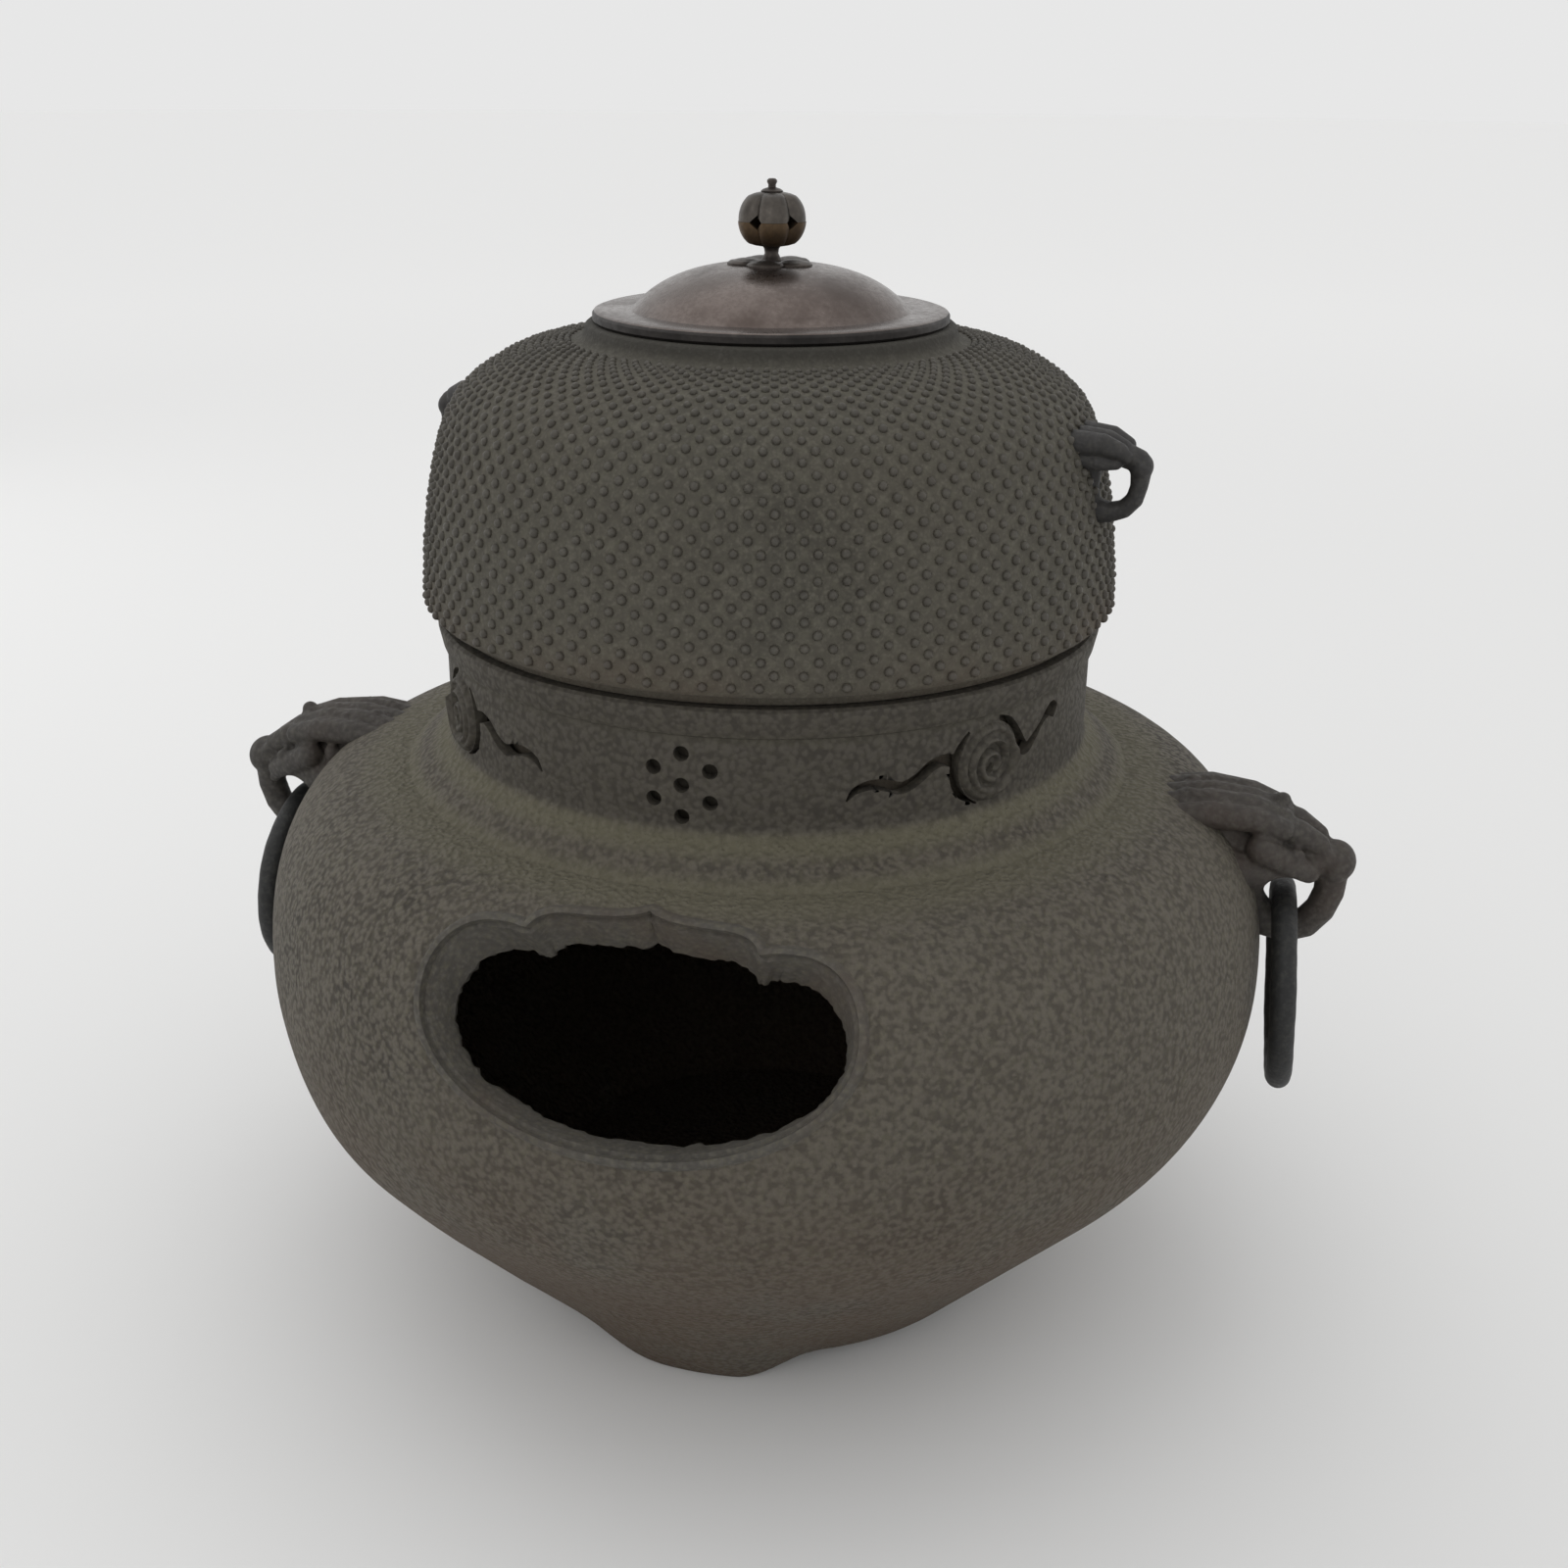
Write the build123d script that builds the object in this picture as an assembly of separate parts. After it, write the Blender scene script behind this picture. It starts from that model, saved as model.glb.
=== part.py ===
from build123d import *
import math
import os

# A cast-iron charcoal brazier with a hobnail water kettle sitting in its neck.
# Millimetres, +Z up.  The origin is on the floor under the middle of the bowl, the
# fire mouth faces -Y and the two ring lugs of the brazier lie on the X axis.

# ---- general clearances ----
RUNNING_GAP = 0.35          # between pieces of different bodies that move past each other
PIN_FIT = 0.05              # radial, between the rivet and what is threaded on it

# ---- bowl ----
BOWL_RADIUS = 182.5         # at its widest
WIDEST_HEIGHT = 138.0       # of the widest place above the floor
BOWL_WALL = 4.5
BELLY_BEND = 84.0           # radius of the bend between the widest place and the lower cone
BASE_RADIUS = 96.0
BASE_HEIGHT = 8.0           # underside of the bowl above the floor
BASE_EDGE_ROUND = 8.0
SHOULDER_RISE = 70.0        # from the widest place up to that crease
SHOULDER_FULLNESS = 0.66    # pull of the shoulder's curve; 0.55 would be a quarter ellipse

# ---- step and neck ----
STEP_RISE = 9.8
NECK_RADIUS = 113.8
NECK_FOOT_FLARE = 3.8       # of the foot of the neck, out from the neck
STEP_WIDTH = 12.2           # of the sloping step, from the foot of the neck to the crease
NECK_COVE = 4.0
NECK_WALL = 4.3
NECK_HEIGHT = 44.2          # from the inner crease of the step to the flat top of the rim
RIM_BAND = 10.5
RIM_FLARE = 2.8
RIM_EDGE = 1.2

NECK_FOOT_RADIUS = NECK_RADIUS + NECK_FOOT_FLARE
SHOULDER_RADIUS = NECK_FOOT_RADIUS + STEP_WIDTH
SHOULDER_HEIGHT = WIDEST_HEIGHT + SHOULDER_RISE
NECK_FOOT_HEIGHT = SHOULDER_HEIGHT + STEP_RISE
NECK_TOP = NECK_FOOT_HEIGHT + NECK_HEIGHT
NECK_BORE = NECK_RADIUS - NECK_WALL
OPENWORK_HEIGHT = NECK_FOOT_HEIGHT + 18.0

# ---- fire mouth, drawn on a plane that leans back with the shoulder ----
MOUTH_HALF_WIDTH = 68.8
MOUTH_WIDEST = 42.0         # up the leaning plane from the lowest point of the mouth
MOUTH_OUTER_LOBE = 67.6
MOUTH_INNER_LOBE = 72.2
MOUTH_PEAK = 75.7
MOUTH_CUSP_X = 36.5
MOUTH_CUSP = 66.2
MOUTH_LOWEST = 143.5        # height of the lowest point above the floor
MOUTH_LEAN = 29.9           # degrees from upright
MOUTH_DEPTH = 11.0          # thickness of the collar of iron round the mouth
MOUTH_COLLAR = 4.0
MOUTH_SIDE_DRAFT = 7.6      # how much narrower the mouth is at its inner edge
MOUTH_BOTTOM_DRAFT = 6.0
MOUTH_TOP_DRAFT = 10.2

# ---- openwork of the neck: a star of round holes and four cloud scrolls ----
VENT_HOLE = 5.0
VENT_RING = 10.4
CLOUD_SLOT = 3.0
CLOUD_AZIMUTH = 51.5        # degrees from the fire mouth to the middle of a scroll
SCROLL_RADIUS = 13.0
SCROLL_PROUD = 1.6

# ---- feet ----
FOOT_REACH = 100.0          # from the axis to the outer edge of a foot on the floor
FOOT_HALF_WIDTH = 25.0
FOOT_LENGTH = 60.0
FOOT_ROOT_HEIGHT = 78.0     # where the swelling of a foot has died away into the bowl
FOOT_ROOT_HALF_WIDTH = 62.0
FOOT_ROOT_INSET = 5.0

# ---- mask lugs of the brazier ----
LUG_REACH = 29.0            # from the widest place of the bowl out to the tip of the nose
LUG_HALF_WIDTH = 18.0
LUG_ROOT_HALF_WIDTH = 21.0
LUG_NOSE_HALF_WIDTH = 9.0
LUG_EYE_RADIUS = 7.2
LUG_EYE_IN = 23.0           # from the tip of the nose in to the middle of the eye
LUG_EYE_RISE = 32.6         # of the middle of the eye above the widest place
LUG_BROW_RISE = 69.3        # of the brow above the widest place
LUG_HOOK_LENGTH = 46.0
LUG_PROFILE = [             # brow, nose and throat: in from the tip, up from the widest place
    (38.0, 69.3), (25.5, 66.3), (23.9, 63.6), (12.0, 56.3), (7.0, 54.6), (1.9, 51.0),
    (0.0, 46.0), (1.0, 39.5), (3.8, 33.0), (7.7, 20.8), (15.0, 11.0),
]
LUG_THROAT = [(26.0, 16.0), (34.0, 28.0)]

# ---- carrying rings ----
RING_WIRE = 4.5             # radius of the bar
RING_RADIUS = 34.1          # to the middle of the bar
RING_LEAN = 4.0             # degrees that a ring leans out over the widest place of the bowl
LUG_EYE_FLARE = RING_RADIUS - RING_WIRE     # bell mouth of the eye, bent like the inside of the ring

# ---- kettle ----
KETTLE_OVERHANG = 6.0       # of the kettle's lower edge past the neck of the brazier
KETTLE_WALL = 3.5
KETTLE_SIDE_TAPER = 5.6     # how much slimmer the side is at the foot of its shoulder
KETTLE_SIDE_RISE = 52.0
KETTLE_SHOULDER_RISE = 40.6
KETTLE_LIP_RISE = 4.0       # from the seat on the brazier's rim to the lower edge
KETTLE_COLLAR_WALL = 6.3    # from the mouth out to the edge of the collar
KETTLE_COLLAR_FLARE = 2.7   # of the foot of the collar
KETTLE_COLLAR_RISE = 5.4
KETTLE_MOUTH_RADIUS = 55.5
WAIST_GAP = 2.0             # between the lower body of the kettle and the neck
KETTLE_DEPTH = 84.0         # from the seat down to the bottom of the kettle
KETTLE_BOTTOM_ROUND = 58.0
KETTLE_LUG_AZIMUTH = -9.1   # the kettle stands turned a little in the brazier

KETTLE_RADIUS = NECK_RADIUS + KETTLE_OVERHANG
KETTLE_COLLAR_RADIUS = KETTLE_MOUTH_RADIUS + KETTLE_COLLAR_WALL
KETTLE_MOUTH_BASE = KETTLE_COLLAR_RADIUS + KETTLE_COLLAR_FLARE
KETTLE_EDGE_HEIGHT = NECK_TOP + KETTLE_LIP_RISE
KETTLE_SIDE_RADIUS = KETTLE_RADIUS - KETTLE_SIDE_TAPER
KETTLE_SIDE_TOP = KETTLE_EDGE_HEIGHT + KETTLE_SIDE_RISE - KETTLE_LIP_RISE
KETTLE_TOP = KETTLE_SIDE_TOP + KETTLE_SHOULDER_RISE
KETTLE_RIM = KETTLE_TOP + KETTLE_COLLAR_RISE
WAIST_RADIUS = NECK_BORE - WAIST_GAP

# ---- kettle lugs ----
KETTLE_LUG_REACH = 18.2     # from the side of the kettle out to the tip
KETTLE_LUG_ROOT_HALF_WIDTH = 11.0
KETTLE_LUG_HEIGHT = 31.5
KETTLE_LUG_DROP = 12.4      # of its lower end below the foot of the kettle's shoulder
KETTLE_LUG_EYE_OUT = 7.6    # of the middle of the eye from the kettle's side
KETTLE_LUG_EYE_UP = 15.0    # and from the lug's lower end
KETTLE_LUG_EYE = (3.8, 5.2)  # half width and half height
KETTLE_LUG_NOSE_HALF_WIDTH = 5.1
KETTLE_LUG_PROFILE = [      # out from the kettle's side, up from the lug's lower end
    (3.5, 0.0), (11.0, 3.8), (15.6, 8.4), (16.6, 15.6), (18.2, 21.4), (13.6, 25.8), (8.0, 29.8), (0.0, 31.5),
]

# ---- lid ----
LID_OVERHANG = 4.5          # of the lid past the mouth of the kettle
LID_EDGE = 4.0
LID_PLATE = 2.4
LID_FLANGE = 16.5           # width of the flat border
LID_DOME_RISE = 14.4        # from the border up to the flat crown
LID_CROWN_RADIUS = 15.5
LOCATING_RING_GAP = 1.0
LOCATING_RING_DEPTH = 7.0
LOCATING_RING_WALL = 2.0

LID_RADIUS = KETTLE_MOUTH_RADIUS + LID_OVERHANG
LID_BORDER_TOP = KETTLE_RIM + LID_EDGE
LOCATING_RING_RADIUS = KETTLE_MOUTH_RADIUS - LOCATING_RING_GAP
LID_CROWN = LID_BORDER_TOP + LID_DOME_RISE

# ---- knob ----
PETALS = 5
PETAL_RADIUS = 6.3
PETAL_RING = 8.5
PETAL_THICKNESS = 1.4
STEM_RADIUS = 2.6
STEM_LENGTH = 4.1
RIVET_RADIUS = 1.4
BUD_LOBE_RADIUS = 7.2
BUD_LOBE_RING = 4.3
BUD_HEIGHT = 17.6
BUD_WALL = 1.4
BUD_SEAM = 8.2              # from the bottom of the bud up to its seam
BUD_WINDOW = 3.4
BUD_LOBE_TURN = 18.0        # degrees, of the first lobe from the fire mouth
CAP_RADIUS = 3.7
CAP_THICKNESS = 1.2
BUTTON_RADIUS = 1.7
BUTTON_HEIGHT = 2.9
WASHER_RADIUS = 7.0
WASHER_THICKNESS = 1.2
RIVET_TAIL = 1.3
RIVET_TAIL_RADIUS = 2.6

PETAL_TOP = LID_CROWN + PETAL_THICKNESS
BUD_BOTTOM = PETAL_TOP + STEM_LENGTH
BUD_TOP = BUD_BOTTOM + BUD_HEIGHT
BUD_MIDDLE = BUD_BOTTOM + BUD_SEAM
CAP_TOP = BUD_TOP + CAP_THICKNESS

FAR = 400.0                 # longer than anything here, for cutting tools
CURVE_STEP = 1e-6           # how finely a place on a curve is searched for


def on_circle(radius, degrees, height=0.0):
    """A point at an angle from the fire mouth, counted towards +X."""
    turn = math.radians(degrees)
    return Vector(radius * math.sin(turn), -radius * math.cos(turn), height)


def spun(solid, degrees):
    """A solid made on the -Y side, turned from the fire mouth towards +X."""
    return Rot(0, 0, degrees) * solid


def cone_normal_angle():
    """Angle below level of the normal of the cone that runs from the base to the belly bend."""
    across = BOWL_RADIUS - BELLY_BEND - BASE_RADIUS
    up = WIDEST_HEIGHT - BASE_HEIGHT
    return math.acos(-BELLY_BEND / math.hypot(across, up)) - math.atan2(up, across)


def shoulder_curve(inset, mode=Mode.ADD):
    """The full curve from the widest place up to the crease of the step, moved inward by inset."""
    widest = (BOWL_RADIUS - inset, WIDEST_HEIGHT)
    crease = (SHOULDER_RADIUS, SHOULDER_HEIGHT - inset)
    up = widest[1] + (crease[1] - widest[1]) * SHOULDER_FULLNESS
    out = crease[0] + (widest[0] - crease[0]) * SHOULDER_FULLNESS
    return Bezier(widest, (widest[0], up), (out, crease[1]), crease, mode=mode)


def shoulder_reach(height):
    """Outer radius of the bowl at a height between its widest place and the crease."""
    curve = shoulder_curve(0, mode=Mode.PRIVATE)
    low, high = 0.0, 1.0
    while high - low > CURVE_STEP:
        middle = (low + high) / 2
        if (curve @ middle).Y < height:
            low = middle
        else:
            high = middle
    return (curve @ low).X


def bowl_lines(inset):
    """Draws the half outline of the bowl, base to shoulder, moved inward by inset."""
    angle = cone_normal_angle()
    floor = BASE_HEIGHT + inset
    base = BASE_RADIUS + (inset * math.sin(angle) - inset) / math.cos(angle)
    bend = BELLY_BEND - inset
    centre = BOWL_RADIUS - BELLY_BEND
    tangent = (centre + bend * math.cos(angle), WIDEST_HEIGHT - bend * math.sin(angle))
    half = angle / 2
    middle = (centre + bend * math.cos(half), WIDEST_HEIGHT - bend * math.sin(half))
    widest = (centre + bend, WIDEST_HEIGHT)
    Line((base, floor), tangent)
    ThreePointArc(tangent, middle, widest)
    shoulder_curve(inset)
    return (base, floor), (SHOULDER_RADIUS, SHOULDER_HEIGHT - inset)


def bowl_envelope(inset=0.0):
    """The bowl filled solid, used to trim what is cast onto its outside."""
    with BuildPart() as solid:
        with BuildSketch(Plane.XZ):
            with BuildLine():
                base, shoulder = bowl_lines(inset)
                Line(shoulder, (0, shoulder[1]))
                Line((0, shoulder[1]), (0, base[1]))
                Line((0, base[1]), base)
            make_face()
        revolve(axis=Axis.Z)
    return solid.part


def bowl_shell():
    """Bowl, sloping step, neck and flared rim turned as one hollow casting."""
    groove = NECK_TOP - RIM_BAND
    slope_in = BOWL_WALL * 1.1
    with BuildPart() as solid:
        with BuildSketch(Plane.XZ):
            with BuildLine():
                base, shoulder = bowl_lines(0)
                Polyline(
                    shoulder,
                    (NECK_FOOT_RADIUS, NECK_FOOT_HEIGHT),
                    (NECK_RADIUS, NECK_FOOT_HEIGHT + NECK_COVE),
                    (NECK_RADIUS, groove),
                    (NECK_RADIUS + RIM_FLARE / 2, groove + RIM_EDGE),
                    (NECK_RADIUS + RIM_FLARE, NECK_TOP - RIM_EDGE),
                    (NECK_RADIUS + RIM_FLARE - RIM_EDGE, NECK_TOP),
                    (NECK_BORE, NECK_TOP),
                    (NECK_BORE, NECK_FOOT_HEIGHT),
                    (SHOULDER_RADIUS - slope_in, SHOULDER_HEIGHT - BOWL_WALL),
                    (SHOULDER_RADIUS, SHOULDER_HEIGHT - BOWL_WALL),
                )
                inner_base, _ = bowl_lines(BOWL_WALL)
                Line(inner_base, (0, inner_base[1]))
                Line((0, inner_base[1]), (0, base[1]))
                Line((0, base[1]), base)
            make_face()
        revolve(axis=Axis.Z)
        rim = solid.part.edges().filter_by(GeomType.CIRCLE).group_by(Axis.Z)[0]
        fillet(rim, BASE_EDGE_ROUND)
    return solid.part


def mouth_plane(depth):
    """The leaning plane of the fire mouth, moved into the bowl by depth."""
    lean = math.radians(MOUTH_LEAN)
    outward = Vector(0, -math.cos(lean), math.sin(lean))
    start = Vector(0, -shoulder_reach(MOUTH_LOWEST), MOUTH_LOWEST)
    return Plane(start - outward * depth, x_dir=(1, 0, 0), z_dir=outward)


def mouth_face(side, bottom, top):
    """The lobed outline of the fire mouth, drawn smaller by side, bottom and top."""
    half = MOUTH_HALF_WIDTH - side
    cusp = (MOUTH_CUSP_X, MOUTH_CUSP - top)
    peak = (0, MOUTH_PEAK - top)
    outer_top = (MOUTH_CUSP_X + (half - MOUTH_CUSP_X) * 0.35, MOUTH_OUTER_LOBE - top)
    outer_turn = (half - (half - MOUTH_CUSP_X) * 0.16, MOUTH_WIDEST + (outer_top[1] - MOUTH_WIDEST) * 0.68)
    inner_top = (MOUTH_CUSP_X * 0.62, MOUTH_INNER_LOBE - top)
    inner_turn = (MOUTH_CUSP_X * 0.9, (cusp[1] + inner_top[1]) / 2 + 0.7)
    saddle = (MOUTH_CUSP_X * 0.22, MOUTH_INNER_LOBE - top)
    with BuildSketch() as outline:
        with BuildLine():
            sweep = MOUTH_WIDEST - bottom
            EllipticalCenterArc((0, MOUTH_WIDEST), half, sweep, start_angle=180, arc_size=90)
            EllipticalCenterArc((0, MOUTH_WIDEST), half, sweep, start_angle=270, arc_size=90)
            for way in (1, -1):
                points = [(way * x, y) for x, y in (outer_top, outer_turn, inner_top, inner_turn, saddle)]
                outer_top_w, outer_turn_w, inner_top_w, inner_turn_w, saddle_w = points
                Spline(
                    (way * half, MOUTH_WIDEST),
                    outer_turn_w,
                    outer_top_w,
                    (way * cusp[0], cusp[1]),
                    tangents=((0, 1), (-way, -0.25)),
                )
                Spline(
                    (way * cusp[0], cusp[1]),
                    inner_turn_w,
                    inner_top_w,
                    saddle_w,
                    peak,
                    tangents=((-way * 0.3, 1), (-way, 1)),
                )
        make_face()
    return outline.sketch


def mouth_solid(side, bottom, top, start, end):
    """The mouth outline carried straight through, from one depth to another."""
    return extrude(mouth_plane(end) * mouth_face(side, bottom, top), end - start)


def mouth_cutter():
    """What is cut away for the mouth: a drafted edge, then a straight way into the bowl."""
    outer = mouth_plane(0) * mouth_face(0, 0, 0)
    inner = mouth_plane(MOUTH_DEPTH) * mouth_face(MOUTH_SIDE_DRAFT, MOUTH_BOTTOM_DRAFT, MOUTH_TOP_DRAFT)
    drafted = loft([outer.face(), inner.face()], ruled=True)
    front = mouth_solid(0, 0, 0, -BOWL_WALL * 6, 0)
    back = mouth_solid(
        MOUTH_SIDE_DRAFT, MOUTH_BOTTOM_DRAFT, MOUTH_TOP_DRAFT, MOUTH_DEPTH, MOUTH_DEPTH + BOWL_WALL * 6
    )
    return front + drafted + back


def mouth_collar():
    """The thicker iron round the mouth, inside the bowl's own surface."""
    grown = mouth_solid(-MOUTH_COLLAR, -MOUTH_COLLAR, -MOUTH_COLLAR, -BOWL_WALL * 6, MOUTH_DEPTH)
    return grown & bowl_envelope(BOWL_WALL / 2)


def radial_plane(degrees, height, turn=0.0, radius=NECK_RADIUS):
    """A plane touching the neck, its x along the neck turned up by turn degrees."""
    outward = on_circle(1, degrees)
    along = Vector(-outward.Y, outward.X, 0)
    lean = math.radians(turn)
    x_dir = along * math.cos(lean) + Vector(0, 0, math.sin(lean))
    return Plane(on_circle(radius, degrees, height), x_dir=x_dir, z_dir=outward)


def neck_slot(path, width):
    """A cutter for a wavy slot through the neck: (degrees, height) points joined up."""
    cutter = Part()
    for (turn_a, height_a), (turn_b, height_b) in zip(path, path[1:]):
        across = math.radians(turn_b - turn_a) * NECK_RADIUS
        rise = height_b - height_a
        plane = radial_plane(
            (turn_a + turn_b) / 2,
            (height_a + height_b) / 2,
            math.degrees(math.atan2(rise, across)),
        )
        slot = plane * SlotCenterToCenter(math.hypot(across, rise), width)
        cutter += extrude(slot, 2 * NECK_WALL, both=True)
    return cutter


def cloud_paths():
    """The slots of one cloud, as degrees and millimetres from the middle of its scroll."""
    tail = [(-25.6, -4.8), (-23.8, -1.0), (-21.5, 1.0), (-19.0, 0.2), (-16.4, -3.0)]
    tail += [(-13.7, -0.8), (-11.6, 2.6), (-9.6, 4.0), (-7.4, 3.0)]
    around_left = [(-4.7, 11.6), (-6.4, 7.2), (-7.2, 2.0), (-7.0, -4.0), (-5.6, -8.8), (-2.6, -12.8)]
    around_right = [(2.2, 13.6), (4.9, 10.2), (6.8, 5.0), (8.8, -0.6)]
    wisp = [(8.8, -0.6), (11.2, 1.2), (13.4, 3.6), (15.8, 5.6), (18.2, 4.4)]
    return [tail, around_left, around_right, wisp]


def cloud(side, facing):
    """Cutters and scroll boss of one cloud; side is 1 or -1, facing 1 front or -1 rear."""
    def turned(offset):
        front = side * (CLOUD_AZIMUTH + offset)
        return front if facing == 1 else 180 - front

    cutter = Part()
    for path in cloud_paths():
        points = [(turned(across), OPENWORK_HEIGHT + up) for across, up in path]
        cutter += neck_slot(points, CLOUD_SLOT)
    middle = radial_plane(turned(0), OPENWORK_HEIGHT)
    boss = extrude(middle * Circle(SCROLL_RADIUS), SCROLL_PROUD)
    boss += extrude(middle * Circle(SCROLL_RADIUS), -NECK_WALL / 2)
    groove = middle * Circle(SCROLL_RADIUS * 0.72)
    groove -= middle * Circle(SCROLL_RADIUS * 0.46)
    boss -= extrude(groove, SCROLL_PROUD)
    return cutter, boss


def vent_star(degrees):
    """Cutters for the star of round holes: one in the middle and six round it."""
    centres = [(0.0, 0.0)]
    for step in range(6):
        turn = math.radians(90 + 60 * step)
        centres.append((VENT_RING * math.cos(turn), VENT_RING * math.sin(turn)))
    cutter = Part()
    for across, up in centres:
        spot = degrees + math.degrees(across / NECK_RADIUS)
        hole = radial_plane(spot, OPENWORK_HEIGHT + up) * Circle(VENT_HOLE / 2)
        cutter += extrude(hole, 2 * NECK_WALL, both=True)
    return cutter


def brazier_body():
    """The bowl and neck casting with its fire mouth, vents and cloud openwork."""
    body = bowl_shell() + mouth_collar()
    body -= mouth_cutter()
    for facing in (1, -1):
        body -= vent_star(0 if facing == 1 else 180)
        for side in (1, -1):
            cutter, boss = cloud(side, facing)
            body = body - cutter + boss
    return body


def foot(degrees):
    """A low foot that swells out of the cone of the bowl."""
    middle = FOOT_REACH - FOOT_LENGTH / 2
    angle = cone_normal_angle()
    spread = (FOOT_ROOT_HEIGHT - BASE_HEIGHT) * math.tan(angle)
    root_reach = BASE_RADIUS + spread - FOOT_ROOT_INSET
    root_length = root_reach - middle + FOOT_LENGTH / 2
    with BuildPart() as solid:
        with BuildSketch(Plane.XY):
            with Locations((0, -middle)):
                Ellipse(FOOT_HALF_WIDTH, FOOT_LENGTH / 2)
        with BuildSketch(Plane.XY.offset(FOOT_ROOT_HEIGHT)):
            with Locations((0, -(root_reach - root_length / 2))):
                Ellipse(FOOT_ROOT_HALF_WIDTH, root_length / 2)
        loft()
    shape = solid.part - bowl_envelope_rounded()
    kept = [piece for piece in shape.solids() if piece.bounding_box().min.Z < BASE_HEIGHT / 2]
    return spun(kept[0], degrees)


def bowl_envelope_rounded():
    """The filled bowl with the round of its base edge, as the feet meet it."""
    envelope = bowl_envelope()
    rim = envelope.edges().filter_by(GeomType.CIRCLE).group_by(Axis.Z)[0]
    return fillet(rim, BASE_EDGE_ROUND)


def lug_eye_cutter(middle, radius, flare, half_length):
    """A hole along Y whose edges open out like a bell."""
    opening = radius + flare - math.sqrt(flare ** 2 - half_length ** 2)
    with BuildPart() as solid:
        with BuildSketch(Plane.XY):
            with BuildLine():
                Line((0, -half_length), (opening, -half_length))
                ThreePointArc((opening, -half_length), (radius, 0), (opening, half_length))
                Line((opening, half_length), (0, half_length))
                Line((0, half_length), (0, -half_length))
            make_face()
        revolve(axis=Axis.Y)
    return Pos(middle[0], 0, middle[1]) * solid.part


def mask_lug(side):
    """A beast-mask lug: a ridged brow, a blunt nose and a loop that holds a ring."""
    tip = BOWL_RADIUS + LUG_REACH
    base = WIDEST_HEIGHT
    inside = SHOULDER_RADIUS
    profile = [(tip - back, base + up) for back, up in LUG_PROFILE]
    throat = [(tip - back, base + up) for back, up in LUG_THROAT]
    with BuildPart() as solid:
        with BuildSketch(Plane.XZ):
            with BuildLine():
                Line((inside, base + LUG_BROW_RISE), profile[0])
                Spline(*profile, tangents=((1, 0), (-1, -0.6)))
                Polyline(
                    profile[-1],
                    *throat,
                    (inside, throat[-1][1]),
                    (inside, base + LUG_BROW_RISE),
                )
            make_face()
        extrude(amount=FAR / 10, both=True)
    with BuildPart() as plan:
        with BuildSketch(Plane.XY.offset(base)):
            with BuildLine():
                Polyline(
                    (tip, -LUG_NOSE_HALF_WIDTH),
                    (tip - LUG_EYE_IN, -LUG_HALF_WIDTH),
                    (inside, -LUG_ROOT_HALF_WIDTH),
                    (inside, LUG_ROOT_HALF_WIDTH),
                    (tip - LUG_EYE_IN, LUG_HALF_WIDTH),
                    (tip, LUG_NOSE_HALF_WIDTH),
                    close=True,
                )
            make_face()
        extrude(amount=SHOULDER_RISE + STEP_RISE)
    eye = (tip - LUG_EYE_IN, base + LUG_EYE_RISE)
    lug = solid.part & plan.part
    hook_height = eye[1] - base
    hook = Pos(eye[0], 0, base + hook_height / 2)
    wide = Box(LUG_HOOK_LENGTH, FAR, hook_height)
    slim = Box(LUG_HOOK_LENGTH, 2 * LUG_NOSE_HALF_WIDTH, hook_height)
    lug = lug - hook * wide + (lug & hook * slim)
    lug -= lug_eye_cutter(eye, LUG_EYE_RADIUS, LUG_EYE_FLARE, LUG_ROOT_HALF_WIDTH + 1)
    lug -= bowl_envelope()
    kept = max(lug.solids(), key=lambda piece: piece.volume)
    return kept if side == 1 else Rot(0, 0, 180) * kept


def ring_pivot():
    """Where the ring's bar rests in the eye of its lug: distance from the axis and height."""
    eye_x = BOWL_RADIUS + LUG_REACH - LUG_EYE_IN
    eye_floor = WIDEST_HEIGHT + LUG_EYE_RISE - LUG_EYE_RADIUS
    return eye_x, eye_floor + RING_WIRE + RUNNING_GAP


def carrying_ring(side):
    """A closed ring hanging through the eye of a lug and leaning out from the bowl."""
    across, height = ring_pivot()
    hanging = Plane((0, 0, -RING_RADIUS), x_dir=(0, 1, 0), z_dir=(1, 0, 0))
    ring = hanging * Torus(RING_RADIUS, RING_WIRE)
    return Pos(side * across, 0, height) * (Rot(0, -side * RING_LEAN, 0) * ring)


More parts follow.
